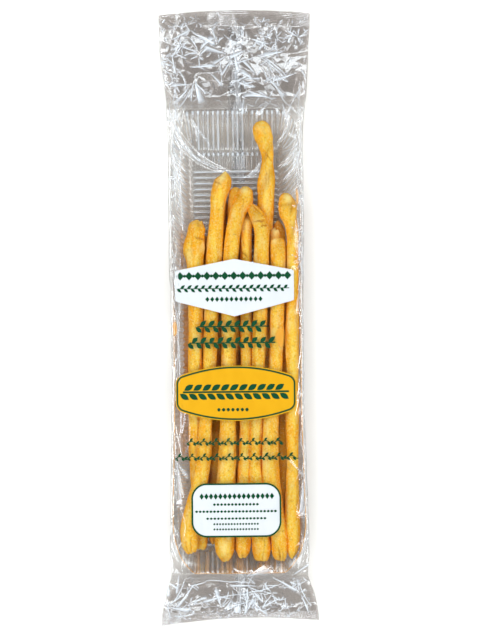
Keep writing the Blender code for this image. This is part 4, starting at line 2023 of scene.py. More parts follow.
@dataclass(frozen=True)
class Grissino:
    """One hand-stretched stick: its route as (x, y, height, girth radius), its ends and its marks."""

    name: str
    route: tuple[tuple[float, float, float, float], ...]
    top: EndShape
    foot: EndShape
    seed: int
    splits: tuple[Split, ...] = ()
    marks: tuple[Mark, ...] = ()
    necks: tuple[tuple[float, float, float], ...] = ()
    pale_top: float = 0.3
    shaded: float = 0.0
    facets: int = 6
    fine_top: float = 60.0
    fine_foot: float = 26.0
    fine_step: float = 0.5
    ring_step: float = 1.0
    segments: int = 72

    def spine(self) -> tuple[Array, Array, Array]:
        """The middle line, its distance from the top end, and the girth along it.

        Returns:
            Points of the line, their distances from the top end, and the girth at each.
        """
        knots = np.array(self.route)
        chord = run_along(knots[:, :3])
        fine = np.linspace(0, chord[-1], 800)
        slopes = [np.gradient(knots[:, k], chord) for k in range(3)]
        line = np.stack([sloped_curve(chord, knots[:, k], slopes[k], fine) for k in range(3)], axis=1)
        run = run_along(line)
        at = self.ring_places(float(run[-1]))
        places = np.stack([np.interp(at, run, line[:, k]) for k in range(3)], axis=1)
        girth = curve_through(chord, knots[:, 3], np.interp(at, run, fine))
        return places, at, girth

    def ring_places(self, length: float) -> Array:
        """Distances of the rings from the top end, close together near both ends.

        Args:
            length: The stick's length.

        Returns:
            The distances, rising.
        """
        ends = [0.0, min(self.fine_top, 0.6 * length), max(length - self.fine_foot, 0.7 * length), length]
        steps = (self.fine_step, self.ring_step, self.fine_step)
        spans = [
            np.linspace(a, b, max(round((b - a) / step), 4), endpoint=False)
            for a, b, step in zip(ends, ends[1:], steps)
        ]
        at = np.concatenate([*spans, [length]])
        tip = 2.0
        near_top, near_foot = np.clip(at / tip, 0, 1), np.clip((length - at) / tip, 0, 1)
        at = np.where(at < tip, tip * near_top**1.5, at)
        return np.where(at > length - tip, length - tip * near_foot**1.5, at)

    def body(self, u: Array, v: Array, length: float) -> Array:
        """The stretched dough's unevenness as a factor on its girth: swellings, flats and ridges.

        Args:
            u: Share of the way round.
            v: Share of the way along.
            length: The stick's length.

        Returns:
            The factor at each point.
        """
        short = max(round(length / 34), 2)
        factor = 1 + 0.055 * smooth_noise(u * 0, v, (1, max(round(length / 26), 2)), self.seed)
        factor += 0.050 * smooth_noise(u, v, (3, short), self.seed + 1, True)
        factor += 0.032 * smooth_noise(u, v, (5, max(round(length / 12), 2)), self.seed + 2, True)
        factor += 0.020 * smooth_noise(u, v, (13, short), self.seed + 3, True)
        wedge = 2 * math.pi / self.facets
        drift = 0.9 * smooth_noise(u * 0, v, (1, max(round(length / 45), 2)), self.seed + 8)
        turn = np.mod(2 * math.pi * u + drift + self.seed, wedge) - wedge / 2
        return factor * (1 + 0.5 * (math.cos(wedge / 2) / np.cos(turn) - 0.97))

    def surface(self) -> dict[str, Array]:
        """The stick's skin as rings of points, with how baked and how pale each point is, and its painted
        shade.

        Returns:
            points, bake, cream and flank, one row for each ring.
        """
        line, at, girth = self.spine()
        length = float(at[-1])
        theta = np.linspace(0, 2 * math.pi, self.segments, endpoint=False)
        degrees = np.degrees(theta)[None, :]
        u, v = np.meshgrid(theta / (2 * math.pi), at / length)
        top, foot = self.top.value, self.foot.value
        caps = self.narrowing(at, girth[0], top) * self.narrowing(length - at, girth[-1], foot)
        radius = girth[:, None] * self.body(u, v, length) * caps[:, None]
        near_top, near_foot = self.nearness(at, girth[0], top), self.nearness(length - at, girth[-1], foot)
        flat = 1 - np.maximum(top.flat * near_top, foot.flat * near_foot)[:, None]
        cells = max(round(length / 26), 2)
        # Painted shade: shaded darkens the crust of the sticks in the lower layer.
        bake = self.shaded + 0.14 * smooth_noise(u, v, (4, cells), self.seed + 4, True)
        pale = self.pale_top * ease(1 - at / (0.8 * girth[0] + 1))[:, None] + 0 * u
        pale += 0.20 * ease(1 - (length - at) / (0.6 * girth[-1] + 1))[:, None]
        pale *= 0.7 + 0.5 * smooth_noise(u, v, (8, cells * 4), self.seed + 7, True)
        waver = smooth_noise(u, v, (18, cells * 8), self.seed + 9, True)
        for split in self.splits:
            turn = (degrees - split.facing + 180) % 360 - 180
            near = np.abs(at[:, None] - split.along - split.tilt * turn / 90 - 0.8 * waver) / split.width
            window = ease(1.6 * (1 - np.abs(turn) / split.span))
            crack = np.clip(1 - near, 0, 1) * window
            radius += split.depth * (0.3 * np.clip(1 - np.abs(near - 1.5) / 1.2, 0, 1) * window - crack)
            bake = bake + 0.75 * crack
        for mark in self.marks:
            share = mark.share(at[:, None], degrees, girth[:, None], waver)
            radius += mark.rise * share
            bake = bake + mark.bake * share
            pale = pale + mark.cream * share
        for middle, reach, depth in self.necks:
            close = np.exp(-(((at - middle) / reach) ** 2))[:, None]
            groove = np.cos(2 * theta[None, :] + (at[:, None] - middle) * 2.6 / reach + self.seed)
            radius = radius * (1 + depth * close * groove)
            bake = bake + 0.35 * close * np.clip(-groove, 0, 1)
        teeth = self.teeth(theta, 0) * top.jag * girth[0] * near_top[:, None] ** 1.5
        teeth = teeth - self.teeth(theta, 1) * foot.jag * girth[-1] * near_foot[:, None] ** 1.5
        # Painted shade: deeper amber on the sides of the stick and, less, on its underside.
        flank = 0.95 * np.abs(np.cos(theta)) ** 2.6 + 0.35 * np.clip(-np.sin(theta), 0, 1)
        return {
            "points": self.swept(line, theta, np.maximum(radius, 0.15), flat, teeth),
            "bake": np.clip(bake, 0, 1), "cream": np.clip(pale, 0, 1), "flank": flank[None, :] + 0 * u,
        }

    @staticmethod
    def swept(line: Array, theta: Array, radius: Array, flat: Array, shift: Array) -> Array:
        """Rings of points round the middle line, each point moved along it by its shift.

        Args:
            line: The middle line.
            theta: Angles round it.
            radius: The radius at each point.
            flat: How far each ring is pressed down.
            shift: How far each point moves along the line.

        Returns:
            The points, one row for each ring.
        """
        ahead, side, up = level_frame(np.gradient(line, axis=0))
        across = (radius * np.cos(theta)[None, :])[:, :, None] * side[:, None]
        rise = (radius * flat * np.sin(theta)[None, :])[:, :, None] * up[:, None]
        return line[:, None] + across + rise + shift[:, :, None] * ahead[:, None]

    @staticmethod
    def nearness(distance: Array, end_girth: float, form: EndForm) -> Array:
        """1 at an end, fading to 0 where the end's form stops."""
        return 1 - np.clip(distance / max(form.reach * float(end_girth), 1.0), 0, 1)

    def narrowing(self, distance: Array, end_girth: float, form: EndForm) -> Array:
        """The factor on the girth by which an end closes."""
        near = self.nearness(distance, end_girth, form)
        return form.mouth + (1 - form.mouth) * (1 - near**form.square) ** (1 / form.square)

    def teeth(self, theta: Array, which: int) -> Array:
        """Pointed teeth of chance height round the top (0) or the foot (1), from -1 to 1.

        Args:
            theta: Angles round the stick.
            which: The end.

        Returns:
            The teeth's height at each angle.
        """
        draw = np.random.default_rng(self.seed * 2 + which)
        total = np.zeros_like(theta)
        for count, size in ((5, 0.7), (17, 0.5)):
            places = (np.arange(count) + draw.uniform(-0.4, 0.4, count)) * 2 * math.pi / count
            total += size * np.interp(theta, places, draw.uniform(-1, 1, count), period=2 * math.pi)
        return total

    def closed(self, skin: dict[str, Array]) -> dict[str, Array]:
        """Fold the skin inwards at both ends, down to a sunken middle.

        Args:
            skin: The fields from surface.

        Returns:
            The same fields with the inner rings, and one more point for each pole.
        """
        rings = skin["points"]
        folds = (0.78, 0.5, 0.22)
        ahead = rings[1].mean(axis=0) - rings[0].mean(axis=0)
        behind = rings[-2].mean(axis=0) - rings[-1].mean(axis=0)
        ends = (
            (0, ahead, self.top.value, self.route[0][3]), (-1, behind, self.foot.value, self.route[-1][3]),
        )
        inner, poles = {}, {}
        for k, inwards, form, girth in ends:
            inwards = inwards / np.linalg.norm(inwards)
            middle = rings[k].mean(axis=0)
            depth = form.sink * girth
            inner[k] = np.stack([
                middle + (rings[k] - middle) * fold + inwards * depth * (1 - fold**2) for fold in folds
            ])
            poles[k] = middle + inwards * depth
        made = {"points": np.concatenate([inner[0][::-1], rings, inner[-1]])}
        made["poles"] = np.stack([poles[0], poles[-1]])
        # The inner faces of the ends: some browning, cream crumb and, through flank, a little painted shade.
        crumb = {"bake": 0.25, "cream": 0.75, "flank": 0.3}
        for key, level in crumb.items():
            inside = np.full((len(folds), self.segments), level if self.top.value.sink > 0.1 else 0.1)
            under = np.full((len(folds), self.segments), level if self.foot.value.sink > 0.1 else 0.1)
            made[key] = np.concatenate([inside, skin[key], under])
        return made

    def build(self, crust: NodeTree, material: Material) -> Piece:
        """Make the stick, closed at both ends, and roughen its crust.

        Args:
            crust: The tree that roughens it.
            material: The crust's finish.

        Returns:
            The stick.
        """
        skin = self.closed(self.surface())
        rows, columns = skin["points"].shape[:2]
        points = np.concatenate([skin["points"].reshape(-1, 3), skin["poles"]])
        here = np.arange(columns)
        after = (here + 1) % columns
        last, top_pole = (rows - 1) * columns, rows * columns
        top = np.stack([np.full(columns, top_pole), after, here], axis=1)
        foot = np.stack([np.full(columns, top_pole + 1), last + here, last + after], axis=1)
        faces = grid_quads(rows, columns, wrap=True).tolist() + top.tolist() + foot.tolist()
        stick = make_object(self.name, points, faces, material)
        for key in ("bake", "cream", "flank"):
            field = skin[key].reshape(-1)
            add_attribute(stick, key, np.concatenate([field, [field[0], field[-1]]]))
        crust.apply(
            stick, Seed=float(self.seed), Lump_Size=5.5 * MM, Lump_Height=0.40 * MM, Blister_Size=1.5 * MM,
            Blister_Height=0.19 * MM, Material=material,
        )
        stick.data.shade_smooth()
        return place(stick)


STICKS = (
    Grissino(
        "stick_left_knuckle",
        (
            (-26.6, 70.8, 17, 3.6), (-28.6, 66.2, 17, 6.3), (-29.4, 61.2, 17.2, 6.5),
            (-31.2, 50.6, 16.4, 8.2), (-30.6, 40, 18, 6.2), (-30.4, 8.4, 18.2, 5.6), (-30.9, -27.4, 17.4, 5),
            (-31.6, -80.9, 14, 4.8), (-30.5, -120, 10, 5), (-27.5, -152, 8.4, 4.9), (-28.2, -170, 9.2, 3.8),
        ),
        EndShape.TORN, EndShape.TORN, 101, splits=(Split(12.5, 125, 50, 1.1, 0.9, 1.5),),
        marks=(
            Mark(3, 100, 3, 1.6, -1.3, bake=0.2), Mark(21, 75, 9, 0.9, -0.8, 0.12, True, bake=0.35),
            Mark(12, 30, 12, 3, 0.5, bake=0.3), Mark(22, 140, 7, 4, 0.9),
        ),
    ),
    Grissino(
        "stick_long_left",
        (
            (-7.4, 106.6, 17.4, 2.6), (-8, 101.4, 17.6, 5.4), (-9.8, 96.6, 17.6, 6.6), (-12.6, 88, 17.6, 6.1),
            (-13.9, 76, 17.8, 5.6), (-16.4, 47.2, 18.2, 5.9), (-18.6, 8, 18.6, 5.3),
            (-20.2, -27.4, 18.7, 5.1), (-24, -80.9, 18.6, 5.2), (-27.4, -116, 17.8, 6.1),
            (-33.2, -140, 17, 7), (-35.8, -153, 16.8, 7.6), (-36.2, -163, 16.4, 6.9), (-35.4, -171, 16, 5.2),
        ),
        EndShape.POINTED, EndShape.TORN, 102, splits=(Split(10.5, 55, 45, 0.6, 0.8, 1),),
        marks=(
            Mark(5, 62, 4, 3, -0.5, cream=1), Mark(11, 20, 9, 3.4, 0.9, bake=0.42),
            Mark(12, 55, 8, 0.9, -0.9, 0.10, True, bake=0.4),
            Mark(273, 100, 8, 0.8, -1.4, 0.05, True, bake=0.6),
            Mark(276, 60, 6, 0.7, -1.2, -0.1, True, bake=0.6), Mark(262, 120, 12, 3, 0.5),
        ),
    ),
    Grissino(
        "stick_crooked",
        (
            (7.4, 95.6, 18, 3.8), (7.2, 90.5, 18, 5.6), (6, 85, 17.8, 6.6), (2.2, 79, 17.8, 6),
            (-1, 68, 18, 5.6), (-4, 47.2, 18.2, 5.9), (-6, 0, 18.6, 5.5), (-6.8, -40, 18.6, 5.6),
            (-7.6, -80.9, 18.2, 6.5), (-9, -116, 17.4, 7), (-11, -156, 16.4, 7.4), (-10.8, -170, 15.6, 6.9),
            (-10.2, -178.2, 15.2, 4.9),
        ),
        EndShape.ROUND, EndShape.PINCHED, 103,
        marks=(
            Mark(3, 70, 2.6, 3, 0.3, cream=0.75), Mark(9.5, 15, 4, 2.4, 1.5, bake=0.15),
            Mark(8, 45, 7, 3.4, 0.1, bake=0.45), Mark(13, 95, 5, 0.9, -0.8, 0.5, True, bake=0.4),
            Mark(265, 95, 10, 3, 0.4, cream=0.2),
        ),
    ),
    Grissino(
        "stick_shouldered",
        (
            (9.6, 83.4, 19.4, 2.6), (13, 77.5, 19.2, 4.6), (17, 71, 18.8, 6.2), (18.3, 64, 18.6, 6),
            (18.1, 47.2, 18.6, 5.9), (17, 8, 18.8, 5.2), (15.4, -27.4, 18.9, 4.9), (13, -80.9, 17.2, 4.7),
            (12.2, -116, 16.4, 5), (15.2, -150, 15.6, 6.8), (16, -168, 15.4, 6.9), (15.6, -178.2, 15, 4.8),
        ),
        EndShape.POINTED, EndShape.BLUNT, 104,
        splits=(Split(15, 80, 62, 1.5, 1.1, 2.6), Split(19, 115, 42, 0.8, 0.9, -2)),
        marks=(
            Mark(7, 95, 7, 5, 0.2, bake=0.42), Mark(13.5, 55, 2.2, 3.6, 1.2, cream=0.5),
            Mark(8, 120, 6, 0.8, -0.8, 0.1, True, bake=0.4),
            Mark(255, 110, 18, 0.9, -0.8, -0.05, True, bake=0.4), Mark(262, 70, 14, 4, 0.2, bake=0.28),
        ),
        pale_top=0.1,
    ),
    Grissino(
        "stick_square_top",
        (
            (30.2, 57.2, 18.8, 5.3), (30.5, 47.2, 18.7, 5.6), (29.4, 8, 18.8, 5.2), (28, -27.4, 18.8, 5.1),
            (23.6, -80.9, 18.2, 6.3), (22.9, -116, 17.4, 6.8), (26.2, -142, 16.8, 6.5),
            (28.8, -162, 16.4, 6.3), (29.2, -170, 16, 6), (30, -178.2, 15.8, 4.6),
        ),
        EndShape.BLUNT, EndShape.TORN, 105,
        marks=(
            Mark(1.5, 55, 2.5, 2.2, -0.5, cream=0.7), Mark(6, 110, 5, 3, 0.2, bake=0.22),
            Mark(232, 85, 10, 0.9, -1.7, 0.04, True, bake=0.7),
            Mark(233, 120, 7, 0.7, -1.2, 0.1, True, bake=0.6), Mark(224, 60, 9, 3, 0.4, bake=0.3),
        ),
        pale_top=0.15,
    ),
    Grissino(
        "stick_right_edge",
        (
            (36.3, 90.4, 17.4, 3.2), (36.6, 86.5, 17.4, 5), (37.5, 81.5, 17.2, 6.6), (38, 76, 17.2, 6.7),
            (39.2, 70.5, 17.8, 5.5), (40.6, 63.5, 18.6, 4.5), (40.8, 47.2, 18.8, 4.6),
            (39.9, -27.4, 18.8, 4.9), (39.5, -80.9, 18.6, 4.8), (39.1, -116, 18.2, 4.8),
            (38.6, -151.8, 17, 5.7), (38.8, -165, 16.4, 4.8), (37.8, -176.4, 16, 2.8),
        ),
        EndShape.ROUND, EndShape.POINTED, 106,
        marks=(
            Mark(3.8, 105, 3.2, 2.6, 0.3, cream=0.95), Mark(8.2, 80, 1.6, 7, -0.6, -0.25, bake=0.45),
            Mark(13, 118, 5, 1.4, -0.9, -0.25, bake=0.45), Mark(13, 60, 6, 3.5, 0.5),
            Mark(10.5, 110, 3, 2.4, 0.2, bake=0.35),
        ),
        necks=((27, 9, 0.08),), pale_top=0.15,
    ),
    Grissino(
        "stick_knotted_tip",
        (
            (18.6, 143.2, 19.6, 4.6), (19.2, 138, 18.6, 6.6), (20.8, 131, 17.6, 6.8),
            (23.2, 119.4, 16.2, 4.1), (22.9, 110, 15.2, 5), (22, 95, 13.6, 6.5), (21.8, 84, 11.6, 6.6),
            (21, 66, 8.2, 6), (20, 20, 7.2, 5.4), (20, -60, 7.2, 5.4), (20.6, -120, 7.2, 5.5),
            (21.5, -160, 7.6, 5),
        ),
        EndShape.ROUND, EndShape.ROUND, 107,
        marks=(
            Mark(7, 100, 3, 2.4, -0.6, 0.3, cream=0.3), Mark(4, 60, 3, 3, 0.5, cream=0.2),
            Mark(13, 75, 2.4, 0.9, -0.6, -0.5, True, bake=0.3),
            Mark(25.5, 90, 6, 0.8, -1.2, 0.9, True, bake=0.45),
            Mark(36, 80, 14, 0.8, -0.7, 0.10, True, bake=0.3),
            Mark(40, 110, 10, 0.7, -0.5, -0.08, True, bake=0.25),
        ),
        necks=((24.5, 8, 0.15), (46, 14, 0.07)), pale_top=0.2,
    ),
    Grissino(
        "stick_hidden_middle",
        (
            (0.6, 95.2, 15.4, 3.4), (-0.4, 90, 14.8, 4.6), (-1.4, 80, 12.4, 4.8), (-2.2, 50, 7.2, 5.4),
            (-2.6, -20, 7.2, 5.2), (-2.2, -100, 7.2, 5.3), (-0.6, -160, 7.6, 5), (0.4, -172, 8.6, 3.8),
        ),
        EndShape.ROUND, EndShape.ROUND, 108, shaded=0.42,
    ),
    Grissino(
        "stick_slim_middle",
        (
            (8.4, 76, 11.6, 3), (7.8, 68, 12.2, 4.3), (6.8, 20, 13.8, 4.3), (6.3, -27.4, 15, 4.3),
            (5, -80.9, 16, 4.3), (3.8, -116, 15.6, 4.7), (3.2, -150, 14.8, 5.7), (2.6, -166, 14, 5.8),
            (1.8, -175.2, 13.4, 4.2),
        ),
        EndShape.POINTED, EndShape.TORN, 109, splits=(Split(30, 70, 50, 0.6, 1.4, 4),),
        marks=(Mark(22, 60, 4, 0.9, -0.8, 0.3, True, bake=0.6), Mark(250, 90, 2, 1.6, -1.2, bake=0.6)),
    ),
    Grissino(
        "stick_broken_piece",
        ((28.6, 64.6, 13.2, 3.4), (28, 57, 12.4, 4), (27.4, 40, 11.4, 3.8), (27, 24, 11, 3.4)), EndShape.TORN,
        EndShape.TORN, 110, marks=(Mark(2, 80, 5, 4, -0.4, cream=0.8),), pale_top=0.9, shaded=0.1,
    ),
    Grissino(
        "stick_hidden_right",
        (
            (30.4, 70.8, 9.4, 3.6), (31, 63, 8.6, 4.8), (33, 30, 7.6, 5.2), (33.2, -40, 7.6, 5.2),
            (32.6, -100, 7.6, 5.2), (31.4, -150, 7.8, 5), (30.6, -168, 8.6, 4),
        ),
        EndShape.POINTED, EndShape.ROUND, 111, shaded=0.60,
    ),
    Grissino(
        "stick_hidden_left",
        (
            (-22, 60, 7.4, 4), (-23, 50, 7.2, 5.2), (-25, 0, 7.2, 5.2), (-26.5, -50, 7.2, 5),
            (-27, -88, 7, 4.2),
        ),
        EndShape.ROUND, EndShape.TORN, 112, shaded=0.60,
    ),
    Grissino(
        "stick_hidden_inner_left",
        (
            (-9.6, 86, 8.4, 3.6), (-11, 78, 7.6, 4.8), (-12.8, 50, 7.2, 5), (-14.2, 0, 7.2, 5),
            (-15.8, -60, 7.2, 5), (-16.8, -110, 7.4, 5), (-18.8, -152, 8.4, 4.2), (-19.6, -166, 9.4, 2.6),
        ),
        EndShape.ROUND, EndShape.POINTED, 113, shaded=0.60,
    ),
)


# ---------------- the print


@dataclass
class PrintedPanels:
    """Plain fields of ink on the shown face, and the plain ornaments that lie on them."""

    film: Film
    ink_gap: float = 0.12
    layer_gap: float = 0.14
    step: float = 1.0

    def conformed(self, x: Array, y: Array, layer: int = 0) -> Array:
        """Places on the print laid on the film, each layer a little above the last."""
        z = self.film.height_at(x, y) + self.ink_gap + self.layer_gap * layer
        return np.stack([x, y, z], axis=-1)

    def field(
        self, name: str, span: tuple[float, float], edges: Callable[[Array], tuple[Array, Array]],
        material: Material, slot: str, layer: int = 0,
    ) -> Piece:
        """A filled shape given by its left and right edge at each height.

        Args:
            name: The piece's name.
            span: Its lowest and highest y.
            edges: Gives the left and right x for an array of y.
            material: Its ink.
            slot: Not used.
            layer: 0 on the film, 1 on another field, and so on.

        Returns:
            The piece.
        """
        rows = max(round((span[1] - span[0]) / self.step * 1.5), 8)
        rise = 0.5 - 0.5 * np.cos(np.linspace(0, math.pi, rows))
        y = span[0] + (span[1] - span[0]) * rise
        left, right = edges(y)
        columns = max(round(float((right - left).max()) / self.step), 4)
        share = np.linspace(0, 1, columns)
        x = left[:, None] + (right - left)[:, None] * share[None, :]
        points = self.conformed(x, np.broadcast_to(y[:, None], x.shape), layer)
        return place(make_object(name, points, grid_quads(*x.shape), material))

    def outline_band(
        self, name: str, outline: Callable[[Array], tuple[Array, Array]], width: float,
        material: Material, slot: str, layer: int = 1,
    ) -> Piece:
        """A thin line along a closed outline.

        Args:
            name: The piece's name.
            outline: Gives x and y for shares from 0 to 1 round the outline.
            width: The line's width.
            material: Its ink.
            slot: Not used.
            layer: How many fields it lies on.

        Returns:
            The piece.
        """
        t = np.linspace(0, 1, 361)[:-1]
        x, y = outline(t)
        dx = np.roll(x, -1) - np.roll(x, 1)
        dy = np.roll(y, -1) - np.roll(y, 1)
        long = np.hypot(dx, dy)
        nx, ny = dy / long, -dx / long
        offsets = np.linspace(-width / 2, width / 2, 3)
        px = x[:, None] + nx[:, None] * offsets[None, :]
        py = y[:, None] + ny[:, None] * offsets[None, :]
        points = self.conformed(px, py, layer)
        quads = grid_quads(len(t) + 1, 3) % (len(t) * 3)
        return place(make_object(name, points, quads[:, ::-1], material))


@dataclass(frozen=True)
class Plaque:
    """A rounded shape of print: a rectangle whose sides may bow out, with round corners."""

    centre: tuple[float, float]
    half_width: float
    half_height: float
    corner: float
    bow: float = 0.0

    def outline(self, share: Array, inset: float = 0.0) -> tuple[Array, Array]:
        """Points of the outline, anticlockwise, for shares from 0 to 1.

        Args:
            share: Shares of the way round.
            inset: How far inside the edge.

        Returns:
            x and y of each point.
        """
        w, h = self.half_width - inset, self.half_height - inset
        r = max(self.corner - inset, 0.5)
        straight_w, straight_h, arc = 2 * (w - r), 2 * (h - r), math.pi * r / 2
        lengths = np.array([straight_h, arc, straight_w, arc, straight_h, arc, straight_w, arc])
        ends = np.cumsum(lengths)
        at = share * ends[-1]
        leg = np.clip(np.searchsorted(ends, at, side="right"), 0, 7)
        into = (at - (ends[leg] - lengths[leg])) / lengths[leg]
        corner_x = np.array([w, w - r, w - r, -w + r, -w, -w + r, -w + r, w - r])
        corner_y = np.array([-h + r, h - r, h, h - r, h - r, -h + r, -h, -h + r])
        step_x = np.array([0, 0, -straight_w, 0, 0, 0, straight_w, 0])
        step_y = np.array([straight_h, 0, 0, 0, -straight_h, 0, 0, 0])
        turn = (leg // 2) * math.pi / 2 + into * math.pi / 2
        round_leg = leg % 2 == 1
        x = corner_x[leg] + np.where(round_leg, r * np.cos(turn), step_x[leg] * into)
        y = corner_y[leg] + np.where(round_leg, r * np.sin(turn), step_y[leg] * into)
        bowed = y + np.sign(y) * self.bow * (1 - (x / w) ** 2) * (np.abs(y) / h)
        return self.centre[0] + x, self.centre[1] + bowed

    def edges(self, y: Array, inset: float = 0.0) -> tuple[Array, Array]:
        """The left and right edge at each height.

        Args:
            y: Places along the pack.
            inset: How far inside the edge.

        Returns:
            The left x and the right x for each y.
        """
        x, edge_y = self.outline(np.linspace(0, 1, 2001), inset)
        right = x >= self.centre[0]
        order = np.argsort(edge_y[right])
        reach = np.interp(y, edge_y[right][order], x[right][order]) - self.centre[0]
        return self.centre[0] - reach, self.centre[0] + reach


class Motif(Enum):
    """A flat printed shape: how many corners it has and how sharply it comes to a point."""

    DOT = (16, 1.0)
    LOZENGE = (4, 1.0)
    LEAF = (20, 1.8)
    KERNEL = (20, 1.35)


@dataclass(frozen=True)
class Row:
    """One row of printed motifs: its reach from left to right, its level and what it repeats."""

    name: str
    motif: Motif
    left: float
    right: float
    level: float
    pitch: float
    long: float
    wide: float
    lean: float = 0.0
    offset: float = 0.0
    swell: float = 0.0
    period: float = 9.0
    vary: float = 0.0
    stem: float = 0.0
    layer: int = 0

    def build(self, tree: NodeTree, panels: PrintedPanels, material: Material) -> Piece:
        """Lay the row on the film, with its stem where it has one.

        Args:
            tree: The tree that repeats the motif.
            panels: What it is laid on.
            material: Its ink.

        Returns:
            The row.
        """
        row = make_object(self.name, np.zeros((1, 3)), [], material)
        corners, point = self.motif.value
        tree.apply(
            row, Left=self.left, Right=self.right, Level=self.level, Pitch=self.pitch, Long=self.long / 2,
            Wide=self.wide / 2, Lean=math.radians(self.lean), Offset=self.offset, Swell=self.swell,
            Period=self.period, Vary=self.vary, Point=point, Corners=corners, Seed=len(self.name),
            Material=material,
        )
        flat = np.empty(len(row.data.vertices) * 3, np.float32)
        row.data.vertices.foreach_get("co", flat)
        faces = [list(face.vertices) for face in row.data.polygons]
        points, more = self.with_stem(flat.reshape(-1, 3)[:, :2].astype(float))
        laid = panels.conformed(points[:, 0], points[:, 1], self.layer)
        bpy.data.objects.remove(row, do_unlink=True)
        return place(make_object(self.name, laid, faces + more, material))

    def with_stem(self, points: Array) -> tuple[Array, list[list[int]]]:
        """Add a thin ribbon along the row's own line to its points.

        Args:
            points: The motifs' places.

        Returns:
            All places, and the ribbon's faces.
        """
        if not self.stem:
            return points, []
        x = np.linspace(self.left - 1, self.right + 1, round((self.right - self.left + 2) / 0.5))
        y = self.level + self.swell * np.sin((x - self.left) / self.period * 2 * math.pi)
        steep = self.swell * 2 * math.pi / self.period * np.cos((x - self.left) / self.period * 2 * math.pi)
        half = self.stem / 2 * np.sqrt(1 + steep**2)
        ribbon = np.stack([np.stack([x, y + half], axis=1), np.stack([x, y - half], axis=1)])
        quads = grid_quads(2, len(x))[:, ::-1] + len(points)
        return np.concatenate([points, ribbon.reshape(-1, 2)]), quads.tolist()


ROWS = (
    Row("print_row_lozenges", Motif.LOZENGE, -41.2, 36.8, 30.4, 6.5, 5.6, 6.2, layer=1),
    Row("print_row_beads", Motif.DOT, -37.95, 34.0, 30.4, 6.5, 2.4, 2.4, layer=1),
    Row(
        "print_row_vine", Motif.LEAF, -42.0, 37.0, 21.2, 2.5, 4.2, 2.0, 40.0, 1.25, vary=0.15, stem=0.55,
        layer=1,
    ),
    Row("print_row_diamonds", Motif.LOZENGE, -21.5, 17.0, 13.4, 3.5, 3.0, 3.9, layer=1),
    Row("print_garland_upper", Motif.LEAF, -28.0, 21.5, -6.4, 3.1, 6.6, 3.2, 42.0, 2.3, vary=0.12, stem=0.9),
    Row("print_garland_lower", Motif.LEAF, -34.0, 26.5, -18.3, 3.1, 6.2, 3.2, 42.0, 2.2, vary=0.12, stem=0.9),
    Row("print_ear", Motif.KERNEL, -39.0, 36.0, -53.9, 3.3, 7.8, 4.0, 32.0, 3.3, stem=1.3, layer=1),
    Row("print_ear_dots", Motif.DOT, -14.0, 9.5, -66.8, 3.4, 2.6, 2.6, layer=1),
    Row(
        "print_tendril_upper", Motif.LEAF, -36.5, 31.5, -90.6, 2.25, 3.5, 1.6, 38.0, 1.2, swell=1.1, vary=0.2,
        stem=0.75,
    ),
    Row(
        "print_tendril_lower", Motif.LEAF, -45.0, 42.5, -101.6, 2.25, 3.5, 1.6, 38.0, 1.2, swell=1.1,
        vary=0.2, stem=0.75,
    ),
    Row("print_panel_lozenges", Motif.LOZENGE, -27.2, 24.5, -129.7, 3.4, 3.2, 4.6, layer=1),
    Row("print_panel_dashes_1", Motif.KERNEL, -18.0, 14.0, -135.6, 2.6, 2.2, 1.9, layer=1),
    Row("print_panel_dashes_2", Motif.KERNEL, -31.0, 27.5, -140.7, 2.6, 2.3, 1.8, layer=1),
    Row("print_panel_dashes_3", Motif.KERNEL, -23.0, 19.0, -145.8, 2.6, 2.2, 1.7, layer=1),
    Row("print_panel_dashes_4", Motif.DOT, -18.2, 14.5, -149.8, 2.1, 1.6, 1.6, layer=1),
    Row("print_panel_dashes_5", Motif.DOT, -18.2, 14.0, -153.6, 2.1, 1.6, 1.6, layer=1),
)


@dataclass
class PackPrint:
    """The pack's print: a white lozenge, a yellow plaque and a white panel, with plain green ornament."""

    panels: PrintedPanels
    white: Material
    yellow: Material
    green: Material
    lozenge_low: float = 0.9
    lozenge_high: float = 42.6
    lozenge_side_low: float = 12.2
    lozenge_side_high: float = 34.2
    lozenge_left: float = -45.0
    lozenge_right: float = 41.4

    def lozenge_edges(self, y: Array) -> tuple[Array, Array]:
        """The left and right edge of the white lozenge, pointed above and below.

        Args:
            y: Places along the pack.

        Returns:
            The left x and the right x for each y.
        """
        share = np.minimum(
            (y - self.lozenge_low) / (self.lozenge_side_low - self.lozenge_low),
            (self.lozenge_high - y) / (self.lozenge_high - self.lozenge_side_high),
        )
        share = np.clip(share, 0, 1)
        middle = (self.lozenge_left + self.lozenge_right) / 2
        return middle + (self.lozenge_left - middle) * share, middle + (self.lozenge_right - middle) * share

    def build(self) -> None:
        """Print every field and ornament."""
        panels = self.panels
        span = (self.lozenge_low, self.lozenge_high)
        panels.field("print_lozenge", span, self.lozenge_edges, self.white, "print_white")
        plaque = Plaque((-1.5, -54.9), 43.8, 12.0, 5.0, 8.0)
        bulge = plaque.half_height + plaque.bow
        span = (plaque.centre[1] - bulge, plaque.centre[1] + bulge)
        panels.field("print_plaque", span, plaque.edges, self.yellow, "print_yellow")
        panels.outline_band(
            "print_plaque_line", lambda t: plaque.outline(t, 1.2), 1.2, self.green, "print_green"
        )
        panel = Plaque((-2.1, -139.8), 32.4, 19.4, 11.0)
        span = (panel.centre[1] - panel.half_height, panel.centre[1] + panel.half_height)
        panels.field("print_panel", span, panel.edges, self.white, "print_white")
        panels.outline_band(
            "print_panel_line", lambda t: panel.outline(t, 0.4), 1.25, self.green, "print_green"
        )
        motifs = motif_tree()
        for row in ROWS:
            row.build(motifs, panels, self.green)


# ---------------- the studio


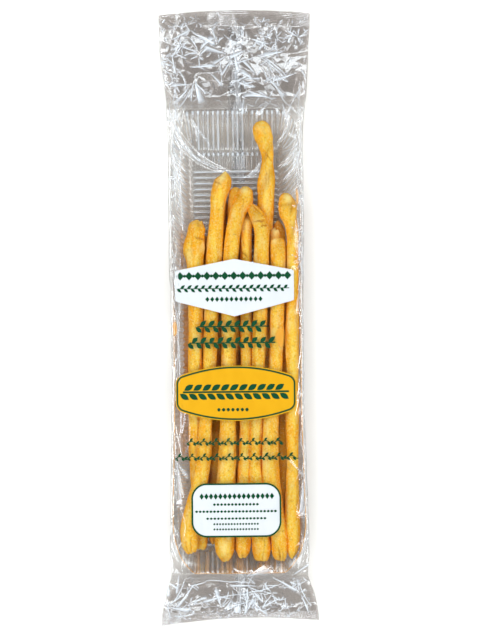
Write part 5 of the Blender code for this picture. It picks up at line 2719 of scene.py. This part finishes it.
@dataclass(frozen=True)
class Softbox:
    """A rectangular studio light that faces the pack, placed by its bearing and its angle from overhead."""

    name: str
    bearing: float
    lean: float
    size: tuple[float, float]
    radiance: float
    distance: float = 1.5
    fade: float = 0.30
    colour: tuple[float, float, float] = (0.86, 0.94, 1.0)

    def build(self) -> None:
        """Hang the light, its long side level and square to the way to the pack."""
        bearing, lean = math.radians(self.bearing), math.radians(self.lean)
        place_at = Vector(
            (math.sin(lean) * math.cos(bearing), math.sin(lean) * math.sin(bearing), math.cos(lean))
        )
        light = bpy.data.lights.new(self.name, "AREA")
        light.shape = "RECTANGLE"
        light.size, light.size_y = self.size
        light.energy = self.radiance * math.pi * self.size[0] * self.size[1]
        light.color = self.colour
        self.soften(light)
        obj = bpy.data.objects.new(self.name, light)
        obj.visible_camera = False
        obj.location = place_at * self.distance
        obj.rotation_euler = (-place_at).to_track_quat("-Z", "Y").to_euler()
        bpy.context.scene.collection.objects.link(obj)

    def soften(self, light: bpy.types.Light) -> None:
        """Dim the light towards its edges, as cloth in front of a lamp does.

        Args:
            light: The light.
        """
        light.use_nodes = True
        nodes = Nodes(light.node_tree)
        across = nodes.parts(nodes.node("ShaderNodeNewGeometry").outputs["Parametric"])
        shares = []
        for axis in ("X", "Y"):
            near = nodes.maths("MINIMUM", across[axis], nodes.maths("SUBTRACT", 1.0, across[axis]))
            shares.append(nodes.ramp(near, 0.0, self.fade))
        nodes.join(nodes.times(*shares), light.node_tree.nodes["Emission"].inputs["Strength"])


@dataclass(frozen=True)
class Studio:
    """Floor, lights and camera: the camera looks straight down on the shown side."""

    view_height: float = 0.4685
    distance: float = 1.7
    sensor: float = 24.0
    aim: tuple[float, float] = (0.0020, -0.0018)
    roll: float = -0.0107
    look_level: float = 0.012
    floor_size: float = 3.0
    floor_level: float = -0.0004
    floor_colour: Colour = (0.95, 0.915, 0.87, 1)
    world_strength: float = 0.5
    world_colour: Colour = (1.0, 0.94, 0.87, 1)
    tent_hole: tuple[float, float] = (11.0, 42.0)
    ring_lean: float = 36.5
    ring_size: tuple[float, float] = (0.98, 0.33)
    ring: tuple[float, ...] = (5.2, 6.2, 7.1, 8.0, 8.6, 7.8, 6.9, 5.8)
    strip_radiance: float = 14.0
    strips: tuple[tuple[float, float], ...] = ((15, 25), (165, 25), (195, 27), (345, 27))
    panel_radiance: float = 5.0
    panels: tuple[tuple[float, float], ...] = ((50, 23), (130, 23), (230, 23), (310, 23))
    low_panels: tuple[tuple[float, float, float, float], ...] = (
        (248, 80, 0.50, 13.0), (292, 80, 0.50, 7.0), (270, 74, 0.30, 4.0), (0, 78, 0.60, 5.0),
        (180, 78, 0.60, 5.0), (32, 64, 0.55, 8.0), (148, 64, 0.55, 8.0), (212, 64, 0.55, 8.0),
        (328, 64, 0.55, 8.0),
    )

    def build(self) -> None:
        """Set up the floor, the world, the lights and the camera."""
        self.build_floor()
        self.build_world()
        for light in self.lights():
            light.build()
        self.build_camera()

    def lights(self) -> list[Softbox]:
        """A ring of soft lights that the folds catch, strips and panels within it, and low panels.

        Returns:
            All the lights.
        """
        made = []
        for k, radiance in enumerate(self.ring):
            bearing = 360 * k / len(self.ring)
            made.append(Softbox(f"ring_{k}", bearing, self.ring_lean, self.ring_size, radiance))
        for k, (bearing, lean) in enumerate(self.strips):
            made.append(Softbox(f"strip_{k}", bearing, lean, (0.5, 0.05), self.strip_radiance))
        for k, (bearing, lean) in enumerate(self.panels):
            made.append(Softbox(f"panel_{k}", bearing, lean, (0.30, 0.25), self.panel_radiance))
        for k, (bearing, lean, wide, radiance) in enumerate(self.low_panels):
            made.append(Softbox(f"low_panel_{k}", bearing, lean, (wide, 0.28), radiance))
        return made

    def build_floor(self) -> None:
        """A wide pale floor just under the pack."""
        half, level = self.floor_size / 2, self.floor_level
        mesh = bpy.data.meshes.new("floor")
        corners = [(-half, -half, level), (half, -half, level), (half, half, level), (-half, half, level)]
        mesh.from_pydata(corners, [], [(0, 1, 2, 3)])
        tree = ShaderTree("pale_floor")
        mesh.materials.append(tree.finished(tree.matt(self.floor_colour)))
        floor = bpy.data.objects.new("floor", mesh)
        bpy.context.scene.collection.objects.link(floor)

    def build_world(self) -> None:
        """Even white light from all round, as in a light tent with a hole overhead for the camera."""
        world = bpy.data.worlds.new("studio")
        world.use_nodes = True
        nodes, background = Nodes(world.node_tree), world.node_tree.nodes["Background"]
        background.inputs["Color"].default_value = self.world_colour
        direction = nodes.parts(nodes.node("ShaderNodeTexCoord").outputs["Generated"])
        inner, outer = (math.cos(math.radians(angle)) for angle in self.tent_hole)
        light = nodes.ramp(direction["Z"], inner, outer, self.world_strength)
        nodes.join(light, background.inputs["Strength"])
        bpy.context.scene.world = world

    def build_camera(self) -> None:
        """A long lens over the middle of the pack."""
        lens = bpy.data.cameras.new("camera")
        lens.sensor_fit = "VERTICAL"
        lens.sensor_height = self.sensor
        lens.lens = self.sensor * self.distance / self.view_height
        camera = bpy.data.objects.new("camera", lens)
        camera.location = (self.aim[0], self.aim[1], self.look_level + self.distance)
        camera.rotation_euler = (0, 0, self.roll)
        bpy.context.scene.collection.objects.link(camera)
        scene = bpy.context.scene
        scene.camera = camera
        scene.view_settings.view_transform = "Standard"
        scene.cycles.transparent_max_bounces = 24
        scene.cycles.caustics_reflective = False
        scene.cycles.caustics_refractive = False


def main() -> None:
    """Build the pack from the inside out, then the studio round it."""
    logging.basicConfig(level=logging.INFO, format="%(name)s %(message)s")
    form = BagForm.from_frame()
    film_material = FILM_FINISH.material()
    tray_material = TRAY_FINISH.material()
    crust_material = CRUST_FINISH.material()
    crust = crust_tree()
    for stick in STICKS:
        stick.build(crust, crust_material)
    tray = Tray(form)
    tray.build(tray_material)
    tray.build_bead(tray_material)
    tray.build_crumbs(crust_material)
    film = Film(form)
    film.build(film_material)
    BackSeam(form).build(SEAM_FINISH.material())
    PackPrint(PrintedPanels(film), WHITE_INK.material(), YELLOW_INK.material(), GREEN_INK.material()).build()
    Studio().build()


if __name__ == "__main__":
    main()
